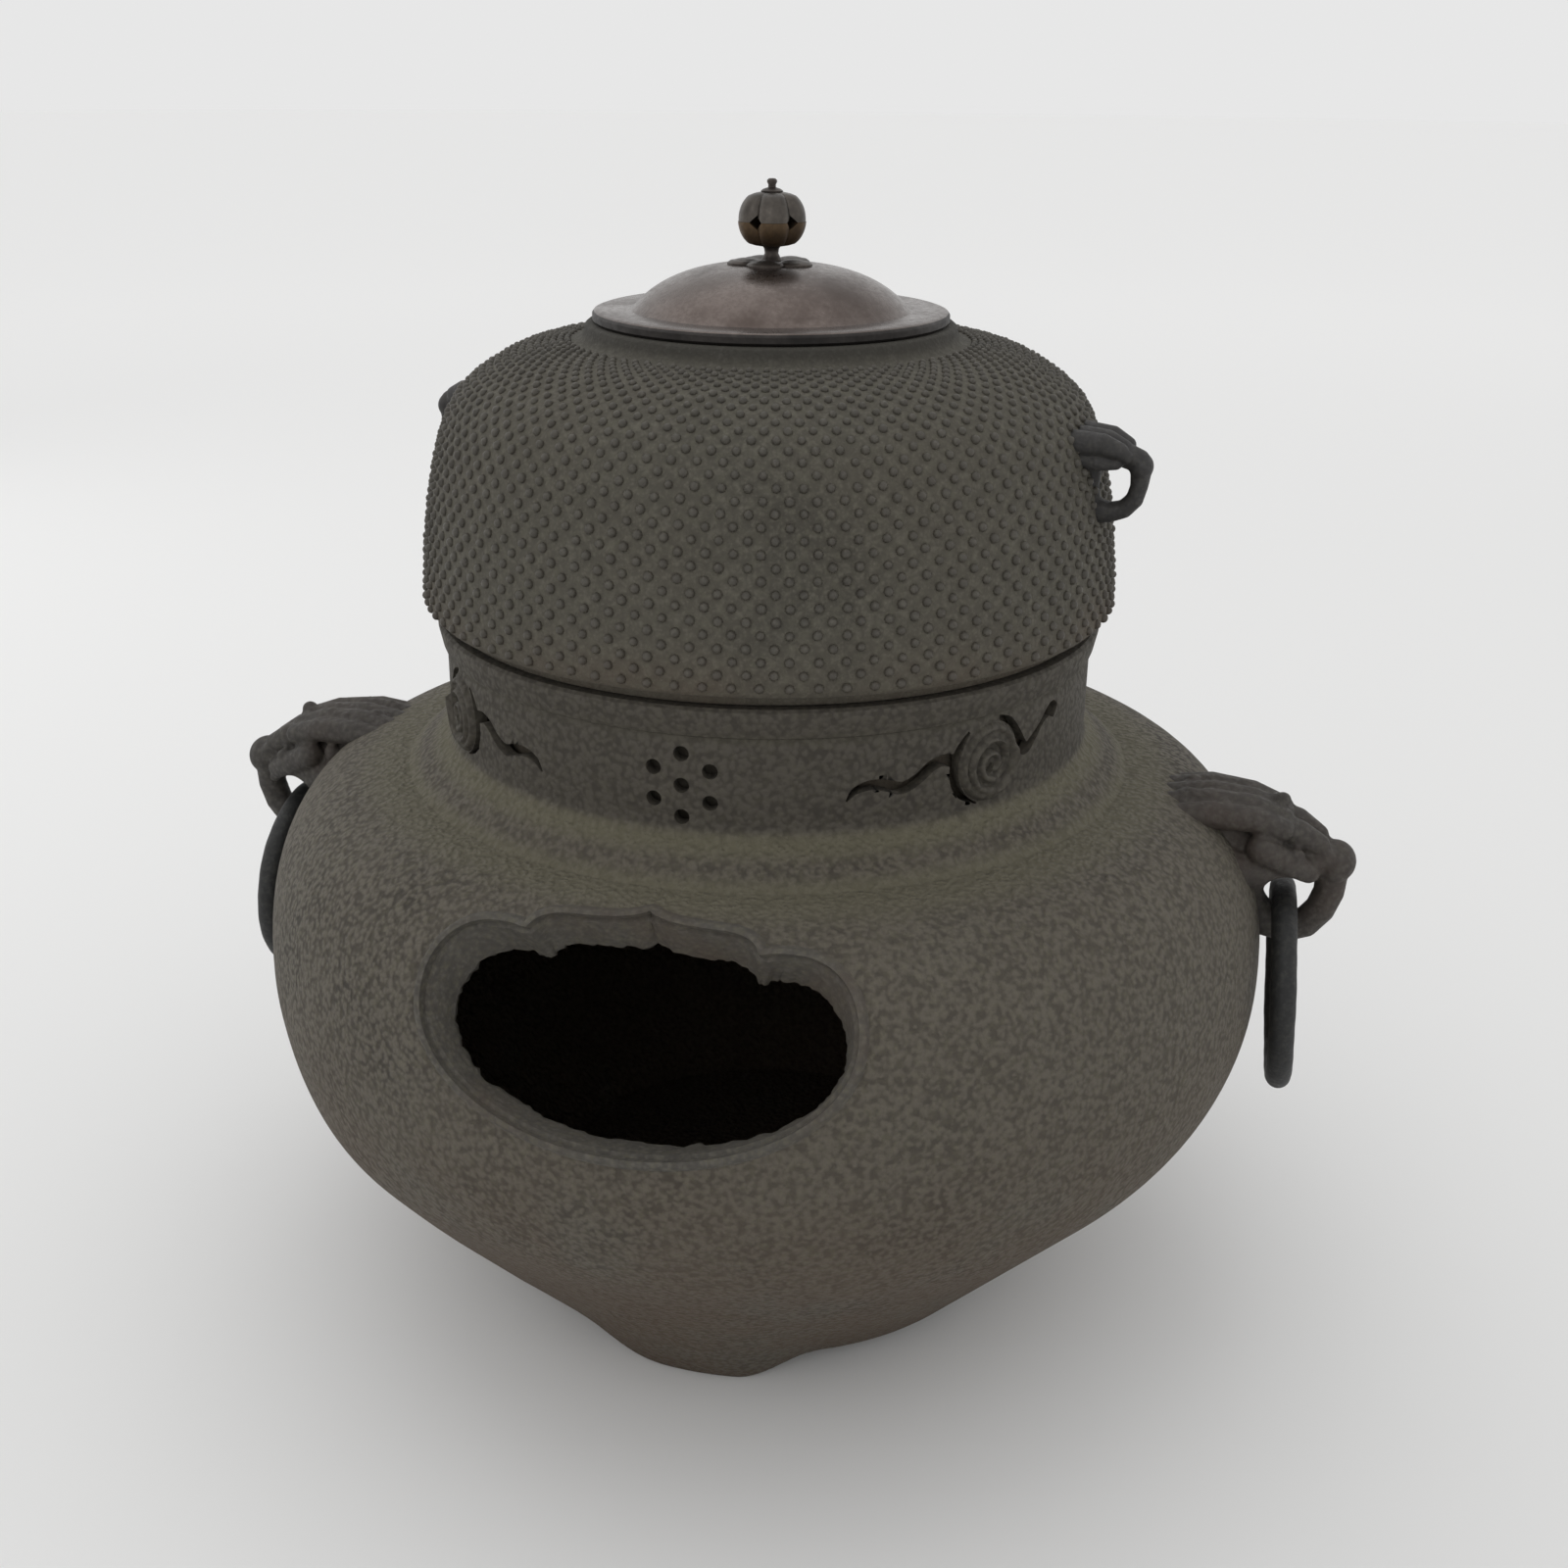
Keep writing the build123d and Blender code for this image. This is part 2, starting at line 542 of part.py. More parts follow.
def kettle_outline(wall):
    """Draws the kettle's half outline from bottom to collar, moved inward by wall."""
    bottom = NECK_TOP - KETTLE_DEPTH + wall
    waist = WAIST_RADIUS - wall
    bend = KETTLE_BOTTOM_ROUND - wall
    seat = NECK_TOP + wall
    side = KETTLE_SIDE_RADIUS - wall
    top = KETTLE_TOP - wall
    low = KETTLE_RADIUS - wall
    edge = KETTLE_EDGE_HEIGHT
    turn = math.radians(45)
    corner = (waist - bend, bottom + bend)
    middle = (corner[0] + bend * math.sin(turn), corner[1] - bend * math.cos(turn))
    Line((0, bottom), (waist - bend, bottom))
    ThreePointArc((waist - bend, bottom), middle, (waist, bottom + bend))
    Line((waist, bottom + bend), (waist, seat))
    Line((waist, seat), (low - KETTLE_LIP_RISE, seat))
    ThreePointArc(
        (low - KETTLE_LIP_RISE, seat),
        (low - KETTLE_LIP_RISE * 0.3, seat + KETTLE_LIP_RISE * 0.25),
        (low, edge + wall * 0.6),
    )
    shoulder = KETTLE_SIDE_TOP
    reach = side - KETTLE_MOUTH_BASE
    rise = top - shoulder
    Spline(
        (low, edge + wall * 0.6),
        ((low + side) / 2 + 0.5, (edge + shoulder) / 2),
        (side, shoulder),
        (side - reach * 0.10, shoulder + rise * 0.36),
        (side - reach * 0.30, shoulder + rise * 0.71),
        (side - reach * 0.56, shoulder + rise * 0.90),
        (KETTLE_MOUTH_BASE, top),
        tangents=((0.02, 1), (-1, 0.12)),
    )


def kettle_body():
    """The hollow kettle: round bottom inside the neck, seat, side, shoulder and collar."""
    with BuildPart() as solid:
        with BuildSketch(Plane.XZ):
            with BuildLine():
                kettle_outline(0)
                Polyline(
                    (KETTLE_MOUTH_BASE, KETTLE_TOP),
                    (KETTLE_COLLAR_RADIUS, KETTLE_RIM),
                    (0, KETTLE_RIM),
                    (0, NECK_TOP - KETTLE_DEPTH),
                )
            make_face()
        revolve(axis=Axis.Z)
    with BuildPart() as hollow:
        with BuildSketch(Plane.XZ):
            with BuildLine():
                kettle_outline(KETTLE_WALL)
                Polyline(
                    (KETTLE_MOUTH_BASE, KETTLE_TOP - KETTLE_WALL),
                    (KETTLE_MOUTH_RADIUS, KETTLE_TOP),
                    (KETTLE_MOUTH_RADIUS, KETTLE_RIM + KETTLE_WALL),
                    (0, KETTLE_RIM + KETTLE_WALL),
                    (0, NECK_TOP - KETTLE_DEPTH + KETTLE_WALL),
                )
            make_face()
        revolve(axis=Axis.Z)
    return solid.part - hollow.part


def kettle_filled():
    """The outside of the kettle's side, filled, used to trim its lugs."""
    with BuildPart() as solid:
        with BuildSketch(Plane.XZ):
            with BuildLine():
                kettle_outline(0)
                Polyline((KETTLE_MOUTH_BASE, KETTLE_TOP), (0, KETTLE_TOP), (0, NECK_TOP - KETTLE_DEPTH))
            make_face()
        revolve(axis=Axis.Z)
    return solid.part


def kettle_lug(side):
    """A small mask lug on the kettle's shoulder, with an eye for a lifting ring."""
    wall = KETTLE_SIDE_RADIUS
    low = KETTLE_SIDE_TOP - KETTLE_LUG_DROP
    high = low + KETTLE_LUG_HEIGHT
    inside = wall - KETTLE_WALL
    tip = wall + KETTLE_LUG_REACH
    profile = [(wall + out, low + up) for out, up in KETTLE_LUG_PROFILE]
    with BuildPart() as solid:
        with BuildSketch(Plane.XZ):
            with BuildLine():
                Line((inside, low), profile[0])
                Spline(*profile, tangents=((1, 0.1), (-1, 0.1)))
                Polyline(profile[-1], (inside, high), (inside, low))
            make_face()
        extrude(amount=KETTLE_LUG_ROOT_HALF_WIDTH, both=True)
        with BuildSketch(Plane.XY.offset(low)):
            with BuildLine():
                Polyline(
                    (inside, -KETTLE_LUG_ROOT_HALF_WIDTH),
                    (tip, -KETTLE_LUG_NOSE_HALF_WIDTH),
                    (tip, KETTLE_LUG_NOSE_HALF_WIDTH),
                    (inside, KETTLE_LUG_ROOT_HALF_WIDTH),
                    close=True,
                )
            make_face()
        extrude(amount=KETTLE_LUG_HEIGHT + KETTLE_WALL, mode=Mode.INTERSECT)
        with BuildSketch(Plane.XZ):
            with Locations((wall + KETTLE_LUG_EYE_OUT, low + KETTLE_LUG_EYE_UP)):
                Ellipse(*KETTLE_LUG_EYE)
        extrude(amount=FAR, both=True, mode=Mode.SUBTRACT)
    lug = solid.part - kettle_filled()
    kept = max(lug.solids(), key=lambda piece: piece.volume)
    turn = KETTLE_LUG_AZIMUTH if side == 1 else KETTLE_LUG_AZIMUTH + 180
    return Rot(0, 0, turn) * kept


def lid_plate():
    """The bronze lid: flat border, swept-up dome and flat crown."""
    dome_foot = LID_RADIUS - LID_FLANGE
    thickness = LID_PLATE
    bearing = LOCATING_RING_RADIUS - LOCATING_RING_WALL
    with BuildPart() as solid:
        with BuildSketch(Plane.XZ):
            with BuildLine():
                Line((0, LID_CROWN), (LID_CROWN_RADIUS, LID_CROWN))
                Spline(
                    (LID_CROWN_RADIUS, LID_CROWN),
                    (dome_foot * 0.68, LID_BORDER_TOP + LID_DOME_RISE * 0.62),
                    (dome_foot, LID_BORDER_TOP),
                    tangents=((1, -0.1), (1, -0.18)),
                )
                Line((dome_foot, LID_BORDER_TOP), (LID_RADIUS, LID_BORDER_TOP))
                Line((LID_RADIUS, LID_BORDER_TOP), (LID_RADIUS, KETTLE_RIM))
                Polyline(
                    (LID_RADIUS, KETTLE_RIM),
                    (bearing, KETTLE_RIM),
                    (bearing, LID_BORDER_TOP - thickness),
                    (dome_foot, LID_BORDER_TOP - thickness),
                )
                Spline(
                    (dome_foot, LID_BORDER_TOP - thickness),
                    (dome_foot * 0.68, LID_BORDER_TOP + LID_DOME_RISE * 0.62 - thickness),
                    (LID_CROWN_RADIUS, LID_CROWN - thickness),
                    tangents=((-1, 0.18), (-1, 0.1)),
                )
                Line((LID_CROWN_RADIUS, LID_CROWN - thickness), (0, LID_CROWN - thickness))
                Line((0, LID_CROWN - thickness), (0, LID_CROWN))
            make_face()
        revolve(axis=Axis.Z)
    return solid.part - rivet_hole(LID_CROWN - 2 * thickness, LID_CROWN + thickness)


def lid_locating_ring():
    """The short collar under the lid that keeps it in the middle of the kettle's mouth."""
    middle = Pos(0, 0, KETTLE_RIM - LOCATING_RING_DEPTH / 2)
    outside = Cylinder(LOCATING_RING_RADIUS, LOCATING_RING_DEPTH)
    inside = Cylinder(LOCATING_RING_RADIUS - LOCATING_RING_WALL, LOCATING_RING_DEPTH)
    return middle * (outside - inside)


def rivet_hole(low, high):
    """A cutter for the hole that the rivet passes through."""
    return Pos(0, 0, (low + high) / 2) * Cylinder(RIVET_RADIUS + PIN_FIT, high - low)


def knob_petal_seat():
    """A five-petalled plum blossom of sheet bronze under the knob."""
    blossom = Part()
    for petal in range(PETALS):
        spot = on_circle(PETAL_RING, 360 / PETALS * petal, LID_CROWN + PETAL_THICKNESS / 2)
        blossom += Pos(spot.X, spot.Y, spot.Z) * Cylinder(PETAL_RADIUS, PETAL_THICKNESS)
    blossom += Pos(0, 0, LID_CROWN + PETAL_THICKNESS / 2) * Cylinder(PETAL_RING, PETAL_THICKNESS)
    return blossom - rivet_hole(LID_CROWN - 1, PETAL_TOP + 1)


def knob_stem():
    """The short tube that holds the bud above the blossom."""
    middle = Pos(0, 0, (PETAL_TOP + BUD_BOTTOM) / 2)
    return middle * Cylinder(STEM_RADIUS, STEM_LENGTH) - rivet_hole(PETAL_TOP - 1, BUD_BOTTOM + 1)


def bud_lobes(inset):
    """Five round lobes in a ring, moved inward by inset."""
    lobes = Part()
    squash = (BUD_HEIGHT / 2 - inset) / (BUD_LOBE_RADIUS - inset)
    for lobe in range(PETALS):
        spot = on_circle(BUD_LOBE_RING, BUD_LOBE_TURN + 360 / PETALS * lobe)
        ball = scale(Sphere(BUD_LOBE_RADIUS - inset), by=(1, 1, squash))
        lobes += Pos(spot.X, spot.Y, BUD_BOTTOM + BUD_HEIGHT / 2) * ball
    return lobes


def bud_shell():
    """The whole hollow bud, with a diamond window between each pair of lobes."""
    flats = Pos(0, 0, BUD_BOTTOM + BUD_HEIGHT / 2) * Cylinder(STEM_RADIUS + 1.2, BUD_HEIGHT)
    shell = bud_lobes(0) + flats - bud_lobes(BUD_WALL)
    for window in range(PETALS):
        turn = BUD_LOBE_TURN + 360 / PETALS * (window + 0.5)
        reach = BUD_LOBE_RING + BUD_LOBE_RADIUS
        spot = on_circle(reach, turn, BUD_MIDDLE)
        plane = Plane(spot, x_dir=(0, 0, 1), z_dir=on_circle(1, turn))
        diamond = plane * (Rot(0, 0, 45) * Rectangle(BUD_WINDOW, BUD_WINDOW))
        shell -= extrude(diamond, BUD_LOBE_RADIUS, both=True)
    return shell - rivet_hole(BUD_BOTTOM - 1, BUD_TOP + 1)


def knob_lower_cup():
    """The golden lower half of the bud."""
    keep = Pos(0, 0, BUD_MIDDLE - FAR / 2) * Box(FAR, FAR, FAR)
    return bud_shell() & keep


def knob_upper_bud():
    """The dark upper half of the bud."""
    keep = Pos(0, 0, BUD_MIDDLE + FAR / 2) * Box(FAR, FAR, FAR)
    return bud_shell() & keep


def knob_cap():
    """A small domed cap on top of the bud."""
    cap = Pos(0, 0, BUD_TOP + CAP_THICKNESS / 2) * Cylinder(CAP_RADIUS, CAP_THICKNESS)
    cap = chamfer(cap.edges().filter_by(GeomType.CIRCLE).sort_by(Axis.Z)[-1], CAP_THICKNESS * 0.6)
    return cap - rivet_hole(BUD_TOP - 1, CAP_TOP + 1)


def knob_rivet():
    """The long rivet from the button on top down to its spread tail inside the lid."""
    underside = LID_CROWN - LID_PLATE
    tail = underside - WASHER_THICKNESS
    shaft = Pos(0, 0, (tail + CAP_TOP) / 2) * Cylinder(RIVET_RADIUS, CAP_TOP - tail)
    button = Pos(0, 0, CAP_TOP + BUTTON_HEIGHT / 2) * Cylinder(BUTTON_RADIUS, BUTTON_HEIGHT)
    spread = Pos(0, 0, tail - RIVET_TAIL / 2) * Cylinder(RIVET_TAIL_RADIUS, RIVET_TAIL)
    return shaft + button + spread


def lid_washer():
    """The washer inside the lid that the rivet is spread over."""
    underside = LID_CROWN - LID_PLATE
    middle = Pos(0, 0, underside - WASHER_THICKNESS / 2)
    washer = middle * Cylinder(WASHER_RADIUS, WASHER_THICKNESS)
    return washer - rivet_hole(underside - 2 * WASHER_THICKNESS, underside + 1)


def parts():
    """Every piece by its node name."""
    return {
        "brazier_body": brazier_body(),
        "foot_front": foot(0),
        "foot_rear_left": foot(-120),
        "foot_rear_right": foot(120),
        "mask_lug_left": mask_lug(-1),
        "mask_lug_right": mask_lug(1),
        "carrying_ring_left": carrying_ring(-1),
        "carrying_ring_right": carrying_ring(1),
        "kettle_body": kettle_body(),
        "kettle_lug_left": kettle_lug(-1),
        "kettle_lug_right": kettle_lug(1),
        "lid_plate": lid_plate(),
        "lid_locating_ring": lid_locating_ring(),
        "knob_petal_seat": knob_petal_seat(),
        "knob_stem": knob_stem(),
        "knob_lower_cup": knob_lower_cup(),
        "knob_upper_bud": knob_upper_bud(),
        "knob_cap": knob_cap(),
        "knob_rivet": knob_rivet(),
        "lid_washer": lid_washer(),
    }


os.makedirs("parts", exist_ok=True)
for node, shape in parts().items():
    export_step(shape, f"parts/{node}.step")
    print(node, len(shape.solids()), round(shape.volume))
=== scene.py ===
# %% [markdown]
# # A cast-iron charcoal brazier with its kettle
# A round brazier stands on three low feet and burns charcoal. A hobnailed iron kettle sits in its neck
# under a bronze lid with a flower-bud knob. The imported CAD model is the fixed frame: each piece below is
# shaped over it in Blender, in metres, and moves with one of its bodies.

# %% Load the frame
import math
import random

import bpy
from mathutils import Matrix, Vector


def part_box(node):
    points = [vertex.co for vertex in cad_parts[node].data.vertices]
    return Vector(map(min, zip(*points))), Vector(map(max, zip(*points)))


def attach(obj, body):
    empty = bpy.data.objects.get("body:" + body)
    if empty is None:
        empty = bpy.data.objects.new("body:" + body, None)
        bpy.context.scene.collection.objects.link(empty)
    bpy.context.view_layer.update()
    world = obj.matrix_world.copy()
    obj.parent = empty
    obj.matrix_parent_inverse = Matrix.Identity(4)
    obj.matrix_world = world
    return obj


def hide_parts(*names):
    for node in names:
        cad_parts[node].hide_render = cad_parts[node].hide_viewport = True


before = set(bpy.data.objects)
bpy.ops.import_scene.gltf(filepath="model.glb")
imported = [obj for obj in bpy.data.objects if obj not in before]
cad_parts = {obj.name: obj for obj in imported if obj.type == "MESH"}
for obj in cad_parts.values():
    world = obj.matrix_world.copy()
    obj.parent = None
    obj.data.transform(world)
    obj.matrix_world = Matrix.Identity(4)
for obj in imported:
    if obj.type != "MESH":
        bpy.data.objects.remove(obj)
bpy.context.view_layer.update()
MM = 0.001

# %% [markdown]
# ## Measures taken from the frame
# A maker measures the raw piece before cutting anything. The widest bowl radius, the top of the neck, the
# kettle and the lid are all read from the boxes of the CAD nodes. The other measures are given as numbers,
# a few of them as offsets from these.

# %% Main measures, in millimetres
def reach(node):
    """Half width of a node and its lowest and highest place, in millimetres."""
    low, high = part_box(node)
    return high.x / MM, low.z / MM, high.z / MM


BOWL_RADIUS, BASE_HEIGHT, NECK_TOP = reach("brazier_body")
KETTLE_RADIUS, KETTLE_BOTTOM, KETTLE_RIM = reach("kettle_body")
LID_RADIUS, LID_BORDER, LID_CROWN = reach("lid_plate")
LID_BORDER += 4.0
RING_BAR = 4.5
RING_RADIUS = 34.1
RING_LEAN = math.radians(4.0)
RING_PIVOT = Vector((188.5, 0, 168.25))
SHOULDER_FULLNESS = 0.66
WIDEST = 138.0
SHOULDER = (129.8, 208.0)
NECK_RADIUS = 113.8
NECK_BORE = 109.5
WALL = 4.5
BELLY_BEND = 84.0
BASE_RADIUS = 96.0
CONE_SPREAD = 0.88
BELLY_CENTRE = BOWL_RADIUS - BELLY_BEND
print("bowl", BOWL_RADIUS, "neck top", NECK_TOP, "kettle", KETTLE_RADIUS, "lid", LID_RADIUS)

# %% [markdown]
# ## Hand tools
# Three small helpers do most of the work. One clears the selection, because operators act on everything
# that is selected. One spins a half outline round the upright axis, as a founder sweeps a mould with a
# board. One lays a ring of sections along a closed line, as a rim is swept round an opening.

# %% Selecting and finishing
def clear():
    """Leaves edit mode and selects nothing."""
    if bpy.context.object and bpy.context.object.mode != "OBJECT":
        bpy.ops.object.mode_set(mode="OBJECT")
    bpy.ops.object.select_all(action="DESELECT")


def pick(obj):
    """Selects one object alone."""
    clear()
    obj.select_set(True)
    bpy.context.view_layer.objects.active = obj


def named(name):
    """Names the object just added."""
    obj = bpy.context.object
    obj.name = name
    obj.data.name = name
    return obj


def settle(obj):
    """Puts an object's place into its mesh, so that it sits at the origin."""
    bpy.context.view_layer.update()
    obj.data.transform(obj.matrix_world)
    obj.matrix_world = Matrix.Identity(4)
    return obj


def tidy_mesh(obj, gap=0.004):
    """Merges doubles, drops loose bits and turns the faces outwards."""
    pick(obj)
    bpy.ops.object.mode_set(mode="EDIT")
    bpy.ops.mesh.select_all(action="SELECT")
    bpy.ops.mesh.remove_doubles(threshold=gap * MM)
    bpy.ops.mesh.delete_loose(use_verts=True, use_edges=True, use_faces=False)
    bpy.ops.mesh.select_all(action="SELECT")
    bpy.ops.mesh.normals_make_consistent(inside=False)
    bpy.ops.object.mode_set(mode="OBJECT")
    return obj


def apply(obj, kind, **values):
    """Adds a modifier, sets it and applies it."""
    pick(obj)
    modifier = obj.modifiers.new(kind.lower(), kind)
    for name, value in values.items():
        setattr(modifier, name, value)
    bpy.ops.object.modifier_apply(modifier=modifier.name)
    return obj


def cut(obj, cutter):
    """Cuts one mesh out of another and throws the cutter away."""
    apply(obj, "BOOLEAN", operation="DIFFERENCE", solver="EXACT", object=cutter, use_self=True)
    bpy.data.objects.remove(cutter, do_unlink=True)
    return obj


def join(name, objects):
    """Joins several objects into one."""
    clear()
    for obj in objects:
        obj.select_set(True)
    bpy.context.view_layer.objects.active = objects[0]
    if len(objects) > 1:
        bpy.ops.object.join()
    return settle(named(name))


def smooth(obj, degrees=35):
    """Smooth shading that keeps edges sharper than the angle."""
    pick(obj)
    bpy.ops.object.shade_smooth_by_angle(angle=math.radians(degrees))
    return obj


# %% Spinning and sweeping
def turned(name, outline, steps=192):
    """Spins a closed half outline, (radius, height) in millimetres, round the upright axis."""
    clear()
    bpy.ops.mesh.primitive_circle_add(vertices=len(outline), radius=0.05)
    obj = named(name)
    for vertex, (across, up) in zip(obj.data.vertices, outline):
        vertex.co = (across * MM, 0, up * MM)
    bpy.ops.object.mode_set(mode="EDIT")
    bpy.ops.mesh.select_all(action="SELECT")
    bpy.ops.mesh.spin(steps=steps, angle=2 * math.pi, center=(0, 0, 0), axis=(0, 0, 1))
    bpy.ops.object.mode_set(mode="OBJECT")
    return tidy_mesh(obj)


def swept(name, sections):
    """A closed ring of closed sections, each a list of points in millimetres."""
    clear()
    major, minor = len(sections), len(sections[0])
    bpy.ops.mesh.primitive_torus_add(major_segments=major, minor_segments=minor)
    obj = named(name)
    points = [point for section in sections for point in section]
    for vertex, point in zip(obj.data.vertices, points):
        vertex.co = Vector(point) * MM
    return tidy_mesh(obj)


def strip(name, rows):
    """A sheet of rows of points in millimetres, each row as long as the next."""
    clear()
    bpy.ops.mesh.primitive_grid_add(x_subdivisions=len(rows[0]) - 1, y_subdivisions=len(rows) - 1)
    obj = named(name)
    for vertex, point in zip(obj.data.vertices, [point for row in rows for point in row]):
        vertex.co = Vector(point) * MM
    return obj


def bezier(start, pull_start, pull_end, end, count):
    """Points along a curve that is pulled towards two handles, without its last point."""
    points = []
    for step in range(count):
        t = step / count
        weights = ((1 - t) ** 3, 3 * t * (1 - t) ** 2, 3 * t * t * (1 - t), t ** 3)
        spots = (start, pull_start, pull_end, end)
        points.append(tuple(sum(w * s[axis] for w, s in zip(weights, spots)) for axis in range(len(start))))
    return points


def ease(value, low, high):
    """0 below low, 1 above high and a smooth step between."""
    t = min(1.0, max(0.0, (value - low) / (high - low)))
    return t * t * (3 - 2 * t)


# %% [markdown]
# ## Shared effects for the finishes
# Old cast iron is never one colour. It has a pebbled skin from the sand mould, rusty patches low down,
# pale dust in the creases and worn edges. The skin, the patches and the bands of height are small node
# groups with named inputs, built once and set differently in each material; the worn edges are not drawn.
# A group only gives out a value or a colour.

# %% Node helpers
def group(name, inputs, outputs):
    """An empty node group with sockets: {name: (kind, default)}."""
    tree = bpy.data.node_groups.new(name, "ShaderNodeTree")
    for label, (kind, default) in inputs.items():
        socket = tree.interface.new_socket(label, in_out="INPUT", socket_type=kind)
        socket.default_value = default
    for label, kind in outputs.items():
        tree.interface.new_socket(label, in_out="OUTPUT", socket_type=kind)
    return tree, tree.nodes.new("NodeGroupInput"), tree.nodes.new("NodeGroupOutput")


def node(tree, kind, links=None, **values):
    """Adds a node, sets its properties and joins or sets its inputs."""
    made = tree.nodes.new(kind)
    for name, value in values.items():
        setattr(made, name, value)
    for socket, source in (links or {}).items():
        if isinstance(source, bpy.types.NodeSocket):
            tree.links.new(source, made.inputs[socket])
        else:
            made.inputs[socket].default_value = source
    return made


def maths(tree, operation, first, second=0.0, third=0.0):
    """A Math node's result."""
    return node(tree, "ShaderNodeMath", {0: first, 1: second, 2: third}, operation=operation).outputs[0]


def blend_colours(tree, factor, first, second, mode="MIX"):
    """A colour mix's result."""
    made = tree.nodes.new("ShaderNodeMix")
    made.data_type = "RGBA"
    made.blend_type = mode
    for index, source in ((0, factor), (6, first), (7, second)):
        if isinstance(source, bpy.types.NodeSocket):
            tree.links.new(source, made.inputs[index])
        else:
            made.inputs[index].default_value = source
    return made.outputs[2]


def ramp(tree, source, low, high):
    """Stretches a value so that low becomes 0 and high becomes 1, smoothly."""
    made = node(tree, "ShaderNodeMapRange", {0: source, 1: low, 2: high}, interpolation_type="SMOOTHSTEP")
    return made.outputs[0]


def place(tree):
    """Object coordinates, in metres."""
    return tree.nodes.new("ShaderNodeTexCoord").outputs["Object"]


def roughen(tree, shader, height, depth, strength=1.0):
    """Feeds a height into the shader's normal; depth is in millimetres."""
    values = {"Height": height, "Strength": strength, "Distance": depth * MM}
    tree.links.new(node(tree, "ShaderNodeBump", values).outputs[0], shader.inputs["Normal"])


FLOAT = "NodeSocketFloat"

# %% Pebbled skin
skin, skin_in, skin_out = group(
    "cast_skin", {"Pebble": (FLOAT, 700.0), "Coarse": (FLOAT, 0.5)}, {"Height": FLOAT, "Tone": FLOAT}
)
spots = place(skin)
wobble = node(skin, "ShaderNodeTexNoise", {"Vector": spots, "Scale": 260.0, "Detail": 3.0})
shift = node(
    skin,
    "ShaderNodeVectorMath",
    {0: wobble.outputs["Color"], 1: (0.0016, 0.0016, 0.0016), 2: spots},
    operation="MULTIPLY_ADD",
)
pebbles = node(
    skin,
    "ShaderNodeTexVoronoi",
    {"Vector": shift.outputs[0], "Scale": skin_in.outputs["Pebble"]},
    feature="SMOOTH_F1",
)
grit = node(skin, "ShaderNodeTexNoise", {"Vector": spots, "Scale": 2400.0, "Detail": 4.0, "Roughness": 0.65})
dents = node(skin, "ShaderNodeTexNoise", {"Vector": spots, "Scale": 330.0, "Detail": 5.0, "Roughness": 0.62})
bumps = maths(skin, "SUBTRACT", 0.62, pebbles.outputs["Distance"])
bumps = maths(skin, "MULTIPLY", bumps, skin_in.outputs["Coarse"])
bumps = maths(skin, "MULTIPLY_ADD", grit.outputs[0], 0.22, bumps)
bumps = maths(skin, "MULTIPLY_ADD", dents.outputs[0], 0.75, bumps)
skin.links.new(bumps, skin_out.inputs["Height"])
skin.links.new(ramp(skin, bumps, 0.46, 0.86), skin_out.inputs["Tone"])

# %% Patches of rust and of dust
patch, patch_in, patch_out = group(
    "patches", {"Size": (FLOAT, 18.0), "Amount": (FLOAT, 0.5), "Seed": (FLOAT, 0.0)}, {"Mask": FLOAT}
)
cloudy = node(
    patch,
    "ShaderNodeTexNoise",
    {"Vector": place(patch), "Scale": patch_in.outputs["Size"], "Detail": 6.0, "Roughness": 0.62,
     "W": patch_in.outputs["Seed"]},
    noise_dimensions="4D",
)
edge = maths(patch, "SUBTRACT", 0.78, maths(patch, "MULTIPLY", patch_in.outputs["Amount"], 0.5))
mask = ramp(patch, cloudy.outputs[0], maths(patch, "SUBTRACT", edge, 0.14), maths(patch, "ADD", edge, 0.12))
patch.links.new(mask, patch_out.inputs["Mask"])

# %% A band of height, for what gathers at one level
level, level_in, level_out = group(
    "level_band", {"Height": (FLOAT, 0.2), "Spread": (FLOAT, 0.01)}, {"Mask": FLOAT}
)
high = node(level, "ShaderNodeSeparateXYZ", {0: place(level)}).outputs["Z"]
far = maths(level, "ABSOLUTE", maths(level, "SUBTRACT", high, level_in.outputs["Height"]))
near = maths(level, "SUBTRACT", 1.0, maths(level, "DIVIDE", far, level_in.outputs["Spread"]))
level.links.new(ramp(level, near, 0.0, 1.0), level_out.inputs["Mask"])


# %% [markdown]
# ## The iron finish
# All the iron pieces share one recipe: a dark warm ground, broken by pebbles, rust towards one height and
# dust at named levels. Only the numbers differ, so the bowl reads coarse and brown, the neck smooth and
# grey and the rings nearly black. Roughness stays high, since the iron is dry and unpolished.

# %% Iron materials
def use(tree, shared, **values):
    """Places a shared group in a material."""
    made = node(tree, "ShaderNodeGroup", node_tree=shared)
    for name, value in values.items():
        if isinstance(value, bpy.types.NodeSocket):
            tree.links.new(value, made.inputs[name])
        else:
            made.inputs[name].default_value = value
    return made


